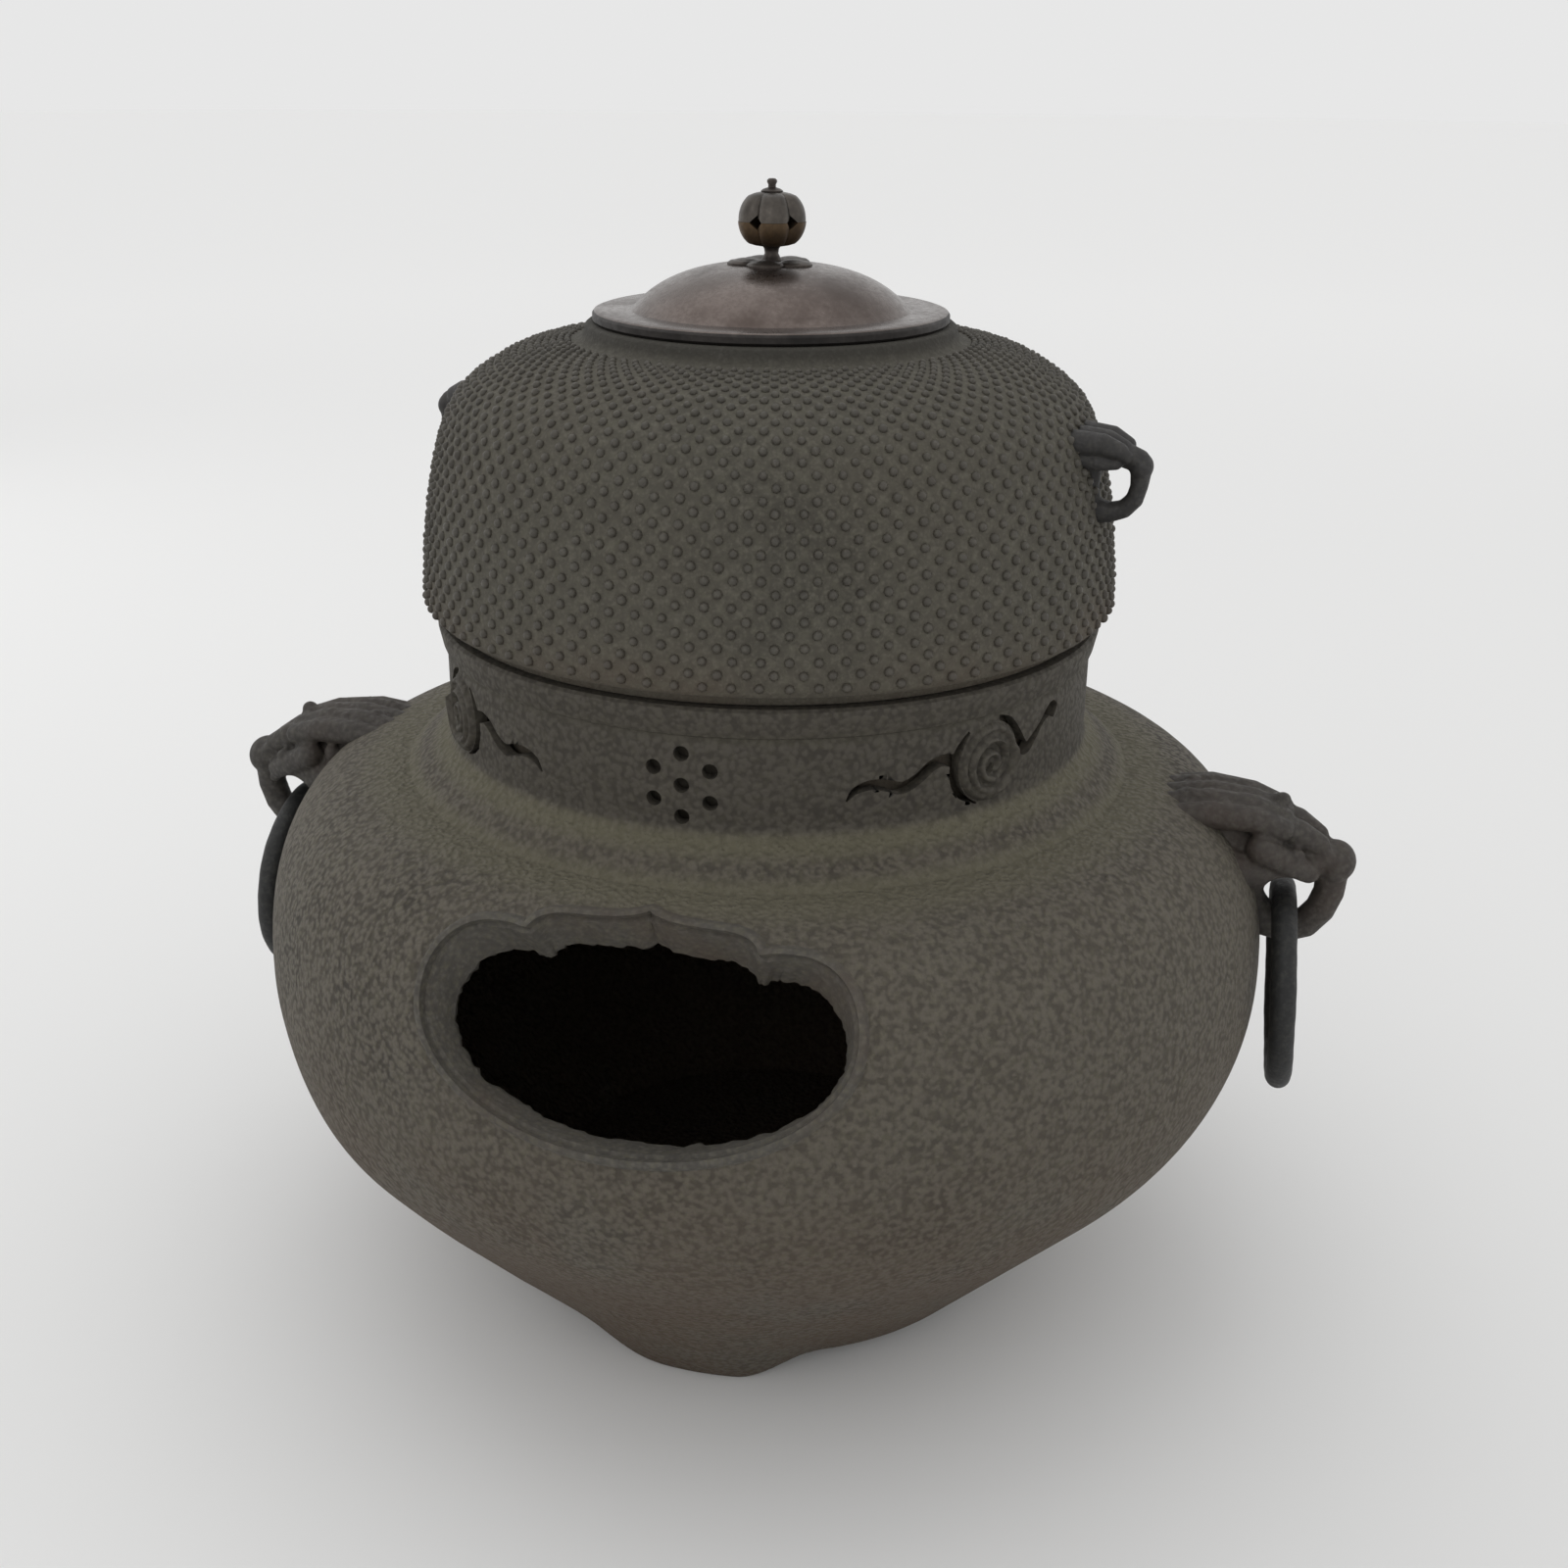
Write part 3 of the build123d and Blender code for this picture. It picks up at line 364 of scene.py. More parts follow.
def iron(name, ground, dark, rust, pebble=700.0, coarse=0.5, depth=0.35, rusty=0.5, rust_size=18.0,
         dust=(0.13, 0.12, 0.078), dust_levels=(), rough=0.78, low_rust=None, calm=None, soot=None):
    """Dry cast iron. Colours are linear; heights are metres. Above calm it is smoother and darker."""
    material = bpy.data.materials.new(name)
    material.use_nodes = True
    tree = material.node_tree
    shader = tree.nodes["Principled BSDF"]
    shader.inputs["Specular IOR Level"].default_value = 0.42
    grain = use(tree, skin, Pebble=pebble, Coarse=coarse)
    colour = blend_colours(tree, grain.outputs["Tone"], (*dark, 1), (*ground, 1))
    cloud_mask = use(tree, patch, Size=9.0, Amount=0.75, Seed=3.0).outputs["Mask"]
    paler = tuple(min(1.0, part * 1.22) for part in ground)
    colour = blend_colours(tree, maths(tree, "MULTIPLY", cloud_mask, 0.45), colour, (*paler, 1))
    mask = use(tree, patch, Size=rust_size, Amount=rusty, Seed=1.0).outputs["Mask"]
    if low_rust:
        heights = node(tree, "ShaderNodeSeparateXYZ", {0: place(tree)}).outputs["Z"]
        lower = ramp(tree, heights, low_rust[1], low_rust[0])
        mask = maths(tree, "MULTIPLY", maths(tree, "MULTIPLY_ADD", lower, 0.9, 0.12), maths(
            tree, "MULTIPLY_ADD", mask, 0.75, 0.25))
    colour = blend_colours(tree, maths(tree, "MULTIPLY", mask, 0.72), colour, (*rust, 1))
    specks = use(tree, patch, Size=420.0, Amount=0.42, Seed=7.0).outputs["Mask"]
    colour = blend_colours(tree, maths(tree, "MULTIPLY", specks, 0.35), colour, (*dust, 1))
    for height, spread, strength in dust_levels:
        band = use(tree, level, Height=height, Spread=spread).outputs["Mask"]
        broken = use(tree, patch, Size=70.0, Amount=0.9, Seed=height * 100).outputs["Mask"]
        band = maths(tree, "MULTIPLY", band, maths(tree, "MULTIPLY_ADD", broken, strength, strength * 0.25))
        colour = blend_colours(tree, band, colour, (*dust, 1))
    strength = 1.0
    if calm:
        heights = node(tree, "ShaderNodeSeparateXYZ", {0: place(tree)}).outputs["Z"]
        above = ramp(tree, heights, calm[0], calm[1])
        colour = blend_colours(tree, maths(tree, "MULTIPLY", above, 0.5), colour, (*dark, 1))
        strength = maths(tree, "MULTIPLY_ADD", above, -0.72, 1.0)
    if soot:
        band = use(tree, level, Height=soot[0], Spread=soot[1]).outputs["Mask"]
        colour = blend_colours(tree, maths(tree, "MULTIPLY", band, 0.85), colour, (*dark, 1))
    tree.links.new(colour, shader.inputs["Base Color"])
    shine = maths(tree, "MULTIPLY_ADD", grain.outputs["Tone"], -0.16, rough + 0.08)
    tree.links.new(shine, shader.inputs["Roughness"])
    roughen(tree, shader, grain.outputs["Height"], depth, strength)
    return material


bowl_iron = iron(
    "bowl_iron", (0.1, 0.089, 0.07), (0.016, 0.0142, 0.0118), (0.082, 0.052, 0.032), pebble=560.0, coarse=1.0,
    depth=1.5, rusty=0.72, rust_size=20.0, low_rust=(0.05, 0.17), calm=(0.2195, 0.2225),
    dust_levels=((0.2085, 0.004, 0.5), (0.2180, 0.005, 0.6), (0.2515, 0.003, 0.2)),
)
rim_iron = iron(
    "mouth_iron", (0.086, 0.079, 0.067), (0.03, 0.027, 0.024), (0.07, 0.05, 0.036), pebble=620.0, coarse=0.5,
    depth=0.45, rusty=0.4,
)
lug_iron = iron(
    "lug_iron", (0.05, 0.0445, 0.039), (0.012, 0.0105, 0.0095), (0.05, 0.034, 0.026),
    pebble=520.0, coarse=0.5, depth=0.6, rusty=0.4, rough=0.62, dust=(0.09, 0.085, 0.065),
)
ring_iron = iron(
    "ring_iron", (0.014, 0.0148, 0.0148), (0.006, 0.006, 0.006), (0.03, 0.027, 0.022),
    pebble=800.0, coarse=0.3, depth=0.3, rusty=0.2, rough=0.55, dust=(0.06, 0.058, 0.05),
)
kettle_iron = iron(
    "kettle_iron", (0.092, 0.085, 0.066), (0.026, 0.024, 0.0195), (0.088, 0.062, 0.042),
    pebble=900.0, coarse=0.4, depth=0.45, rusty=0.5, rust_size=14.0, low_rust=(0.255, 0.29),
    dust=(0.11, 0.105, 0.075), soot=(0.3590, 0.0075),
)
stud_iron = iron(
    "stud_iron", (0.07, 0.063, 0.05), (0.021, 0.019, 0.0155), (0.056, 0.038, 0.027), pebble=800.0, coarse=0.4,
    depth=0.3, rusty=0.5, rust_size=14.0, low_rust=(0.255, 0.29), rough=0.46, dust=(0.09, 0.085, 0.065),
)
handle_iron = iron(
    "kettle_lug_iron", (0.03, 0.028, 0.027), (0.01, 0.0095, 0.0095), (0.035, 0.026, 0.021),
    pebble=800.0, coarse=0.4, depth=0.3, rusty=0.3, rough=0.55, dust=(0.06, 0.057, 0.047),
)
print("iron finishes", [m.name for m in bpy.data.materials])

# %% [markdown]
# ## The bronze finish
# The lid and knob are bronze coloured with a brown patina and rubbed by hands, so they are metal under a
# thin dark skin. Metallic stays high and the patina is only a darker, duller mask over it. A little coat
# would look wet, so the soft sheen comes from roughness alone.

# %% Bronze materials
def bronze(name, colour, patina, rough=0.4, metallic=0.75, patchy=0.5, depth=0.05):
    """Patinated bronze. Colours are linear."""
    material = bpy.data.materials.new(name)
    material.use_nodes = True
    tree = material.node_tree
    shader = tree.nodes["Principled BSDF"]
    shader.inputs["Metallic"].default_value = metallic
    shader.inputs["Specular IOR Level"].default_value = 0.5
    big = use(tree, patch, Size=34.0, Amount=patchy, Seed=2.0).outputs["Mask"]
    fine = use(tree, patch, Size=600.0, Amount=0.55, Seed=5.0).outputs["Mask"]
    mixed = blend_colours(tree, big, (*colour, 1), (*patina, 1))
    mixed = blend_colours(tree, maths(tree, "MULTIPLY", fine, 0.35), mixed, (*patina, 1))
    tree.links.new(mixed, shader.inputs["Base Color"])
    shine = maths(tree, "MULTIPLY_ADD", big, 0.1, rough)
    shine = maths(tree, "MULTIPLY_ADD", fine, 0.1, shine)
    tree.links.new(shine, shader.inputs["Roughness"])
    grain = use(tree, skin, Pebble=1500.0, Coarse=0.2)
    roughen(tree, shader, grain.outputs["Height"], depth)
    return material


lid_bronze = bronze("lid_bronze", (0.15, 0.124, 0.113), (0.082, 0.064, 0.056), rough=0.2, metallic=0.92)
edge_bronze = bronze("lid_edge_bronze", (0.042, 0.037, 0.034), (0.02, 0.018, 0.017), rough=0.4, metallic=0.7)
petal_bronze = bronze("petal_bronze", (0.085, 0.072, 0.063), (0.034, 0.028, 0.025), rough=0.32, metallic=0.8)
golden_bronze = bronze("golden_bronze", (0.12, 0.078, 0.042), (0.05, 0.034, 0.022), rough=0.4)
dark_bronze = bronze("dark_bronze", (0.11, 0.097, 0.084), (0.045, 0.04, 0.036), rough=0.26, metallic=0.8)


def dress(obj, material, body, slot, *nodes):
    """Gives a piece its finish, its body and the CAD nodes it stands for."""
    obj.data.materials.clear()
    obj.data.materials.append(material)
    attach(obj, body)
    if nodes:
        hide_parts(*nodes)
    print(obj.name, "faces", len(obj.data.polygons), "on", body)
    return obj


# %% [markdown]
# ## The bowl, neck and feet
# The brazier is one casting: a round bowl, a sloping step, an upright neck with a rolled rim and three
# low feet. It could be carved from a solid, but a founder sweeps it with a board, so it is spun here from a
# half outline of the outside and the inside. The feet are drawn out of the same skin afterwards: each
# point near a foot slides from the plain outline to the outline of a foot. Old castings are seldom round,
# so the left flank is also made a little fuller.

# %% Half outline of the bowl
CONE_RISE = WIDEST - 8.0
CONE_LEAN = math.acos(-BELLY_BEND / math.hypot(BELLY_CENTRE - BASE_RADIUS, CONE_RISE))
CONE_LEAN -= math.atan2(CONE_RISE, BELLY_CENTRE - BASE_RADIUS)


def belly(inset, steps):
    """The bend from the cone up to the widest place, moved inwards."""
    bend = BELLY_BEND - inset
    turns = [CONE_LEAN * (1 - step / steps) for step in range(steps)]
    return [(BELLY_CENTRE + bend * math.cos(t), WIDEST - bend * math.sin(t)) for t in turns]


def shoulder(inset, steps):
    """The full curve from the widest place up to the crease of the step, moved inwards."""
    start, end = (BOWL_RADIUS - inset, WIDEST), (SHOULDER[0], SHOULDER[1] - inset)
    up = start[1] + (end[1] - start[1]) * SHOULDER_FULLNESS
    across = end[0] + (start[0] - end[0]) * SHOULDER_FULLNESS
    return bezier(start, (start[0], up), (across, end[1]), end, steps) + [end]


SHOULDER_LINE = shoulder(0, 160)
CHAMBER_FLOOR = 12.5
FLOOR_RINGS = [0.0, 20.0, 33.0, 36.5, 39.5, 44.0, 52.0, 60.0, 68.0, 76.0, 84.0, 89.0, 92.4]
CONE_HEIGHTS = [14.0, 18.0, 23.0, 28.0, 34.0, 40.0, 47.0, 54.0, 61.0, 68.0, 75.0]
plain = [(r, BASE_HEIGHT) for r in FLOOR_RINGS] + [(95.8, 8.75), (98.4, 10.7)]
plain += [(BASE_RADIUS + CONE_SPREAD * (z - 8.0), z) for z in CONE_HEIGHTS]
outside = plain + belly(0, 16) + shoulder(0, 22)
outside += [(125.6, 211.2), (121.4, 214.6), (118.6, 216.7), (117.2, 217.7), (115.9, 218.5), (114.6, 220.2)]
outside += [(NECK_RADIUS, z) for z in (222.4, 225.5, 229.0, 232.5, 236.0, 239.5, 243.0, 246.5, 249.2)]
rolled_rim = [(-0.5, -11.1), (-0.4, -10.3), (0.9, -9.5), (1.5, -7.9), (2.1, -5.0), (2.7, -2.2)]
rolled_rim += [(2.5, -0.9), (1.5, 0)]
outside += [(NECK_RADIUS + out, NECK_TOP + up) for out, up in rolled_rim]
inside = [(NECK_BORE + 0.6, NECK_TOP), (NECK_BORE, NECK_TOP - 0.7), (NECK_BORE, 240.0), (NECK_BORE, 218.0)]
inside += [(124.8, 203.6)] + shoulder(WALL, 12)[::-1] + belly(WALL, 9)[::-1]
inside += [(r, CHAMBER_FLOOR) for r in (94.0, 50.0, 0.0)]
brazier = turned("brazier_casting", outside + inside, 256)
print("half outline points", len(outside) + len(inside))

# %% Draw out the three feet
FOOT_STRETCH = 1.108
FOOT_EDGE = 99.2
FOOT_SLOPE = 0.674
FOOT_SOFTNESS = 2.5
FLANK_SWELL = 8.5
FOOT_HALF = 14.0
FOOT_FADE = 38.0
LEFT_FADE = 24.0


def footed(across, up):
    """Where a point of the plain outline goes in the middle of a foot."""
    if up <= BASE_HEIGHT + 0.1:
        sole = [8.0, 8.0, 7.9, 6.6, 2.0, 0.15] + [0.0] * 7
        far = [0, 20, 33, 37.6, 39.6, 42.0, 51, 60, 69, 78, 88, 95.0, 98.4]
        index = min(range(len(FLOOR_RINGS)), key=lambda i: abs(FLOOR_RINGS[i] - across))
        return far[index], sole[index]
    rise = (up - BASE_HEIGHT) * FOOT_STRETCH
    straight = FOOT_EDGE + FOOT_SLOPE * rise
    cone = BASE_RADIUS + CONE_SPREAD * (rise - 8.0)
    return cone + FOOT_SOFTNESS * math.log1p(math.exp((straight - cone) / FOOT_SOFTNESS)), rise


for vertex in brazier.data.vertices:
    up = vertex.co.z / MM
    turn = math.degrees(math.atan2(vertex.co.x, -vertex.co.y))
    fuller = FLANK_SWELL * MM * ease(up, 8.0, 26.0) * (1 - ease(up, 48.0, 128.0))
    fuller *= ease(-turn, 12.0, 48.0) * (1 - ease(-turn, 110.0, 150.0))
    across = math.hypot(vertex.co.x, vertex.co.y)
    if across > 0:
        vertex.co.x *= 1 + fuller / across
        vertex.co.y *= 1 + fuller / across

FEET = (0, 120, -120)
for vertex in brazier.data.vertices:
    up = vertex.co.z / MM
    across = math.hypot(vertex.co.x, vertex.co.y) / MM
    wall_inside = up > 12.0 and across < BASE_RADIUS + CONE_SPREAD * (up - 8.0) - 2.0
    if up > 79 or wall_inside or (11 < up < 13 and across < 95):
        continue
    turn = math.degrees(math.atan2(vertex.co.x, -vertex.co.y))
    foot = min(FEET, key=lambda f: abs((turn - f + 180) % 360 - 180))
    offset = math.radians((turn - foot + 180) % 360 - 180)
    aside = abs(across * math.sin(offset))
    broad = LEFT_FADE if foot == 0 and vertex.co.x < 0 else 0.0
    pull = 1 - ease(aside, FOOT_HALF - 0.1 * up, FOOT_FADE + broad + 0.45 * up)
    if abs(offset) > math.radians(60):
        pull = 0
    new_across, new_up = footed(across, up)
    scale = (across + (new_across - across) * pull) / across if across > 1e-6 else 1
    vertex.co.x *= scale
    vertex.co.y *= scale
    vertex.co.z = (up + (new_up - up) * pull) * MM
print("lowest point", min(v.co.z for v in brazier.data.vertices))

# %% [markdown]
# ## The fire mouth
# The mouth is a lobed opening with a raised lip and a band that slopes into the bowl to a rough edge. The
# outline is drawn on a plane that leans back with the shoulder and is then laid on the bowl. The opening
# itself is a straight cut; the lip and band are a separate sweep round it, with the same number of points
# on the outer and the inner line, so that the corners of the lobes run across the band as creases.

# %% The leaning plane and the lobed outline
MOUTH_LOW = 143.5
LEAN = math.radians(29.9)
along_lean = Vector((0, math.sin(LEAN), math.cos(LEAN)))
outward = Vector((0, -math.cos(LEAN), math.sin(LEAN)))
mouth_origin = Vector((0, -BOWL_RADIUS + 0.2, MOUTH_LOW))


def bowl_reach(up):
    """Outer radius of the bowl at a height."""
    if up > WIDEST:
        for (r0, z0), (r1, z1) in zip(SHOULDER_LINE, SHOULDER_LINE[1:]):
            if up <= z1:
                return r0 + (r1 - r0) * (up - z0) / (z1 - z0)
        return SHOULDER[0]
    return BELLY_CENTRE + math.sqrt(BELLY_BEND ** 2 - (WIDEST - up) ** 2)


def on_plane(x, s, lift=0.0):
    """A point of the leaning plane, moved along its outward direction."""
    return mouth_origin + along_lean * s + outward * lift + Vector((x, 0, 0))


def on_bowl(x, s, lift=0.0):
    """The point of the bowl's outside that lies under a point of the leaning plane."""
    low, high = -30.0, 20.0
    for _ in range(26):
        middle = (low + high) / 2
        spot = on_plane(x, s, middle)
        if math.hypot(spot.x, spot.y) > bowl_reach(spot.z):
            high = middle
        else:
            low = middle
    return on_plane(x, s, low + lift)


def lobed(half, low, widest, outer, cusp, inner, peak):
    """The mouth's outline from the left end, under the mouth and back over the top."""
    cusp_x, cusp_s = cusp
    right = bezier((half, widest), (half, widest + (outer - widest) * 0.62), (half * 0.86, outer),
                   (half * 0.68, outer), 26)
    right += bezier((half * 0.68, outer), (half * 0.61, outer + 0.1), (cusp_x + 2.5, cusp_s + 0.9), cusp, 12)
    right += bezier(cusp, (cusp_x - 1.5, cusp_s + 3.6), (cusp_x * 0.84, inner), (cusp_x * 0.63, inner), 14)
    lobe_top = (cusp_x * 0.63, inner)
    right += bezier(lobe_top, (cusp_x * 0.42, inner + 0.2), (cusp_x * 0.16, inner), (0, peak), 14)
    under = []
    for step in range(84):
        turn = math.pi * step / 84
        under.append((-half * math.cos(turn), widest - (widest - low) * math.sin(turn)))
    left = [(-x, s) for x, s in right[1:][::-1]]
    return under + right + [(0, peak)] + left


MOUTH_SHIFT = -1.2
lip_line = [(x + MOUTH_SHIFT, s) for x, s in lobed(68.8, 0.0, 42.0, 67.6, (36.5, 66.3), 72.2, 75.7)]
edge_line = lobed(61.0, 6.0, 38.0, 58.4, (32.5, 56.6), 62.5, 65.2)
print("points round the mouth", len(lip_line), len(edge_line))

# %% Cut the opening
def grown(line, by):
    """A line moved outwards by a distance, in its own plane."""
    made = []
    for index, (x, s) in enumerate(line):
        x0, s0 = line[index - 1]
        x1, s1 = line[(index + 1) % len(line)]
        length = math.hypot(x1 - x0, s1 - s0) or 1.0
        made.append((x + (s1 - s0) / length * by, s - (x1 - x0) / length * by))
    return made


def flat_prism(name, line, near, far):
    """A straight cutter with the outline of a line on the leaning plane."""
    clear()
    bpy.ops.mesh.primitive_circle_add(vertices=len(line), radius=0.05, fill_type="NGON")
    obj = named(name)
    for vertex, (x, s) in zip(obj.data.vertices, line):
        vertex.co = on_plane(x, s, near) * MM
    bpy.ops.object.mode_set(mode="EDIT")
    bpy.ops.mesh.select_all(action="SELECT")
    bpy.ops.mesh.extrude_region_move(TRANSFORM_OT_translate={"value": outward * (far - near) * MM})
    bpy.ops.object.mode_set(mode="OBJECT")
    return tidy_mesh(obj)


cut(brazier, flat_prism("mouth_cutter", grown(lip_line, -0.6), 25.0, -45.0))
print("casting faces", len(brazier.data.polygons))

# %% Sweep the lip and the band
random.seed(11)
rough = [random.uniform(-1, 1) for _ in lip_line]
count = len(rough)
jag = [0.55 * (rough[i] + 0.6 * rough[i - 1] + 0.5 * rough[(i * 3) % count]) / 1.6 for i in range(count)]
outer_root, outer_foot, lip_in = grown(lip_line, 1.9), grown(lip_line, 1.1), grown(lip_line, -1.4)
lip_side, groove_line, band_start = grown(lip_line, 0.6), grown(lip_line, -2.1), grown(lip_line, -3.4)
edge_back = grown(edge_line, 0.6)
sections = []
for i in range(len(lip_line)):
    edge_x, edge_s = edge_line[i]
    middle_x, middle_s = (edge_x + edge_back[i][0]) / 2, (edge_s + edge_back[i][1]) / 2
    ragged = jag[i]
    away = Vector((edge_back[i][0] - edge_x, edge_back[i][1] - edge_s)).normalized() * ragged
    start, end = on_bowl(*band_start[i], -3.0), on_plane(edge_x + away.x, edge_s + away.y, -10.6)
    sections.append([
        on_bowl(*outer_root[i], -0.9),
        on_bowl(*outer_foot[i], 0.2),
        on_bowl(*lip_side[i], 1.5),
        on_bowl(*lip_line[i], 1.8),
        on_bowl(*lip_in[i], 1.4),
        on_bowl(*groove_line[i], -2.2),
        start,
        start.lerp(end, 0.3) + outward * 0.25,
        start.lerp(end, 0.62) + outward * 0.35,
        start.lerp(end, 0.88) + outward * 0.1,
        end,
        on_plane(middle_x + away.x * 1.6, middle_s + away.y * 1.6, -13.2 + ragged),
        on_plane(*grown(edge_line, 2.6)[i], -14.6),
        on_plane(*grown(edge_line, 6.5)[i], -13.0),
        on_bowl(*outer_root[i], -4.0),
    ])
mouth_rim = smooth(swept("mouth_rim", sections), 30)
dress(mouth_rim, rim_iron, "brazier", "brazier_iron")

# %% [markdown]
# ## The openwork of the neck
# Hot air leaves through a star of seven round holes in front and behind, and through four drifting
# clouds. Each cloud is a few tapering slots round a raised scroll. The slots are drawn as strips on the
# neck, as degrees round it and millimetres up, and drawn out towards the axis to cut through the wall.

# %% Round vents and cloud slots
VENT_HEIGHT = 235.6
VENT_RADIUS = 2.5
STAR_RADIUS = 10.4
CLOUD_AZIMUTH = 51.5


def on_neck(degrees, up, out=0.0):
    """A point on the neck, counted in degrees from the fire mouth towards +X."""
    turn = math.radians(degrees)
    return Vector(((NECK_RADIUS + out) * math.sin(turn), -(NECK_RADIUS + out) * math.cos(turn), up))


def vent(degrees, up):
    """A round cutter through the neck."""
    clear()
    spot = on_neck(degrees, up) * MM
    bpy.ops.mesh.primitive_cylinder_add(
        vertices=28, radius=VENT_RADIUS * MM, depth=24 * MM, location=spot,
        rotation=(math.pi / 2, 0, math.radians(degrees))
    )
    return settle(named("vent"))


def slot_cutter(path, side, facing):
    """A cutter along (degrees, up, width) points, thin at its ends."""
    fine = []
    for index in range(len(path) - 1):
        before, here = path[max(0, index - 1)], path[index]
        after, later = path[index + 1], path[min(len(path) - 1, index + 2)]
        for step in range(5):
            t = step / 5
            point = []
            for axis in range(3):
                a, b, c, d = before[axis], here[axis], after[axis], later[axis]
                point.append(0.5 * (2 * b + (c - a) * t + (2 * a - 5 * b + 4 * c - d) * t * t
                                    + (3 * b - a - 3 * c + d) * t ** 3))
            fine.append(point)
    fine.append(list(path[-1]))
    rows = []
    per_degree = math.radians(1) * NECK_RADIUS
    for index, (across, up, width) in enumerate(fine):
        x0, z0, _ = fine[max(0, index - 1)]
        x1, z1, _ = fine[min(len(fine) - 1, index + 1)]
        run, rise = (x1 - x0) * per_degree, z1 - z0
        length = math.hypot(run, rise) or 1.0
        row = []
        for half in (-0.66, 0.66):
            spot = across - rise / length * width * half / per_degree
            turn = side * (CLOUD_AZIMUTH + spot)
            turn = turn if facing == 1 else 180 - turn
            row.append(on_neck(turn, VENT_HEIGHT + 0.4 + up + run / length * width * half, 9.0))
        rows.append(row)
    obj = strip("slot", rows)
    pick(obj)
    bpy.ops.object.mode_set(mode="EDIT")
    bpy.ops.mesh.select_all(action="SELECT")
    bpy.ops.mesh.extrude_region_move()
    inner = (NECK_BORE - 8.0) / (NECK_RADIUS + 9.0)
    bpy.context.scene.tool_settings.transform_pivot_point = "CURSOR"
    bpy.ops.transform.resize(value=(inner, inner, 1), center_override=(0, 0, 0))
    bpy.ops.object.mode_set(mode="OBJECT")
    return tidy_mesh(obj)


TAIL = [(-25.8, -5.2, 0.5), (-24.4, -1.9, 1.9), (-21.8, -0.4, 2.6), (-19.2, -1.2, 3.0), (-16.6, -2.6, 3.2),
        (-13.9, -0.4, 3.0), (-11.6, 3.0, 3.1), (-9.4, 4.3, 3.0), (-7.2, 3.2, 3.4)]
HUG = [(-4.5, 11.8, 0.8), (-6.1, 7.6, 2.0), (-7.1, 2.6, 2.8), (-6.9, -3.6, 3.2), (-5.4, -8.6, 3.0),
       (-2.2, -12.6, 1.2)]
DROP = [(1.9, 14.2, 1.0), (4.1, 11.4, 3.0), (6.2, 6.4, 3.4), (8.0, 1.2, 3.6), (9.4, 0.4, 3.2),
        (11.2, 3.0, 2.4), (13.2, 6.4, 1.6), (15.0, 9.0, 2.6), (16.6, 9.6, 4.2), (18.0, 8.0, 3.4)]
corners = [(side, facing) for side in (1, -1) for facing in (1, -1)]
vents = []
for facing in (0, 180):
    vents.append(vent(facing, VENT_HEIGHT))
    for step in range(6):
        turn = math.radians(30 + 60 * step)
        vents.append(vent(facing + math.degrees(STAR_RADIUS * math.cos(turn) / NECK_RADIUS),
                          VENT_HEIGHT + STAR_RADIUS * math.sin(turn)))
vents += [slot_cutter(TAIL, *corner) for corner in corners]
cut(brazier, join("vents", vents))
cut(brazier, join("hugging_slots", [slot_cutter(HUG, *corner) for corner in corners]))
cut(brazier, join("dropping_slots", [slot_cutter(DROP, *corner) for corner in corners]))
smooth(brazier, 32)
dress(brazier, bowl_iron, "brazier", "brazier_iron", "brazier_body", "foot_front", "foot_rear_left",
      "foot_rear_right")

# %% [markdown]
# ## The cloud scrolls
# Each cloud turns round a raised scroll like a snail. It is a disc spun flat, then raised along a spiral
# ridge with a hollow between its turns, and last wrapped onto the neck. Modelling one disc and wrapping it
# four times keeps the four alike and mirrored, each with its own mesh.

# %% Shape and wrap the scrolls
def scroll_height(radius, turn):
    """Height of the scroll above the neck for a place on its disc."""
    body_edge = 1.7 * (1 - ease(radius, 11.6, 13.4)) - 0.4 * ease(radius, 12.6, 13.4)
    ridge = 0.0
    for wind in range(-1, 3):
        line = 2.6 + 3.9 * (turn / (2 * math.pi) + wind)
        if 1.2 < line < 10.6:
            ridge = max(ridge, math.exp(-((radius - line) / 1.25) ** 4))
    hollow = -1.5 * ease(radius, 3.2, 4.6) * (1 - ease(radius, 6.2, 7.6))
    hollow *= ease(math.cos(turn - 0.5), -0.4, 0.5)
    return body_edge + 1.9 * ridge + hollow - 1.1 * (1 - ease(radius, 10.0, 11.0))


discs = []
for index, (side, facing) in enumerate(corners):
    rings = [0.0, 0.6] + [0.6 + 0.5 * step for step in range(1, 27)]
    back = [(13.4, -3.0), (0.0, -3.0)]
    disc = turned("cloud_scroll_%d" % (index + 1), [(r, 0.0) for r in rings] + back, 72)
    for vertex in disc.data.vertices:
        x, y, z = vertex.co / MM
        radius = math.hypot(x, y)
        if z > -1:
            z = scroll_height(radius, math.atan2(y, x) % (2 * math.pi)) if radius < 13.5 else z
        turn = side * (CLOUD_AZIMUTH + math.degrees(x * 0.94 / NECK_RADIUS))
        turn = turn if facing == 1 else 180 - turn
        vertex.co = on_neck(turn, VENT_HEIGHT + 0.4 + y, z) * MM
    tidy_mesh(disc)
    discs.append(dress(smooth(disc, 60), bowl_iron, "brazier", "brazier_iron"))

# %% [markdown]
# ## The beast-mask lugs
# A lug is a small cast beast head that holds a carrying ring in its jaw: a ridged mane, a brow, a round
# nose and a loop below. Such a lump has no flat faces, so it is built up like clay from balls and rolls,
# fused by a voxel remesh, softened, and cut through with a bell-mouthed drill. Both lugs come from the
# same clay, turned half round.

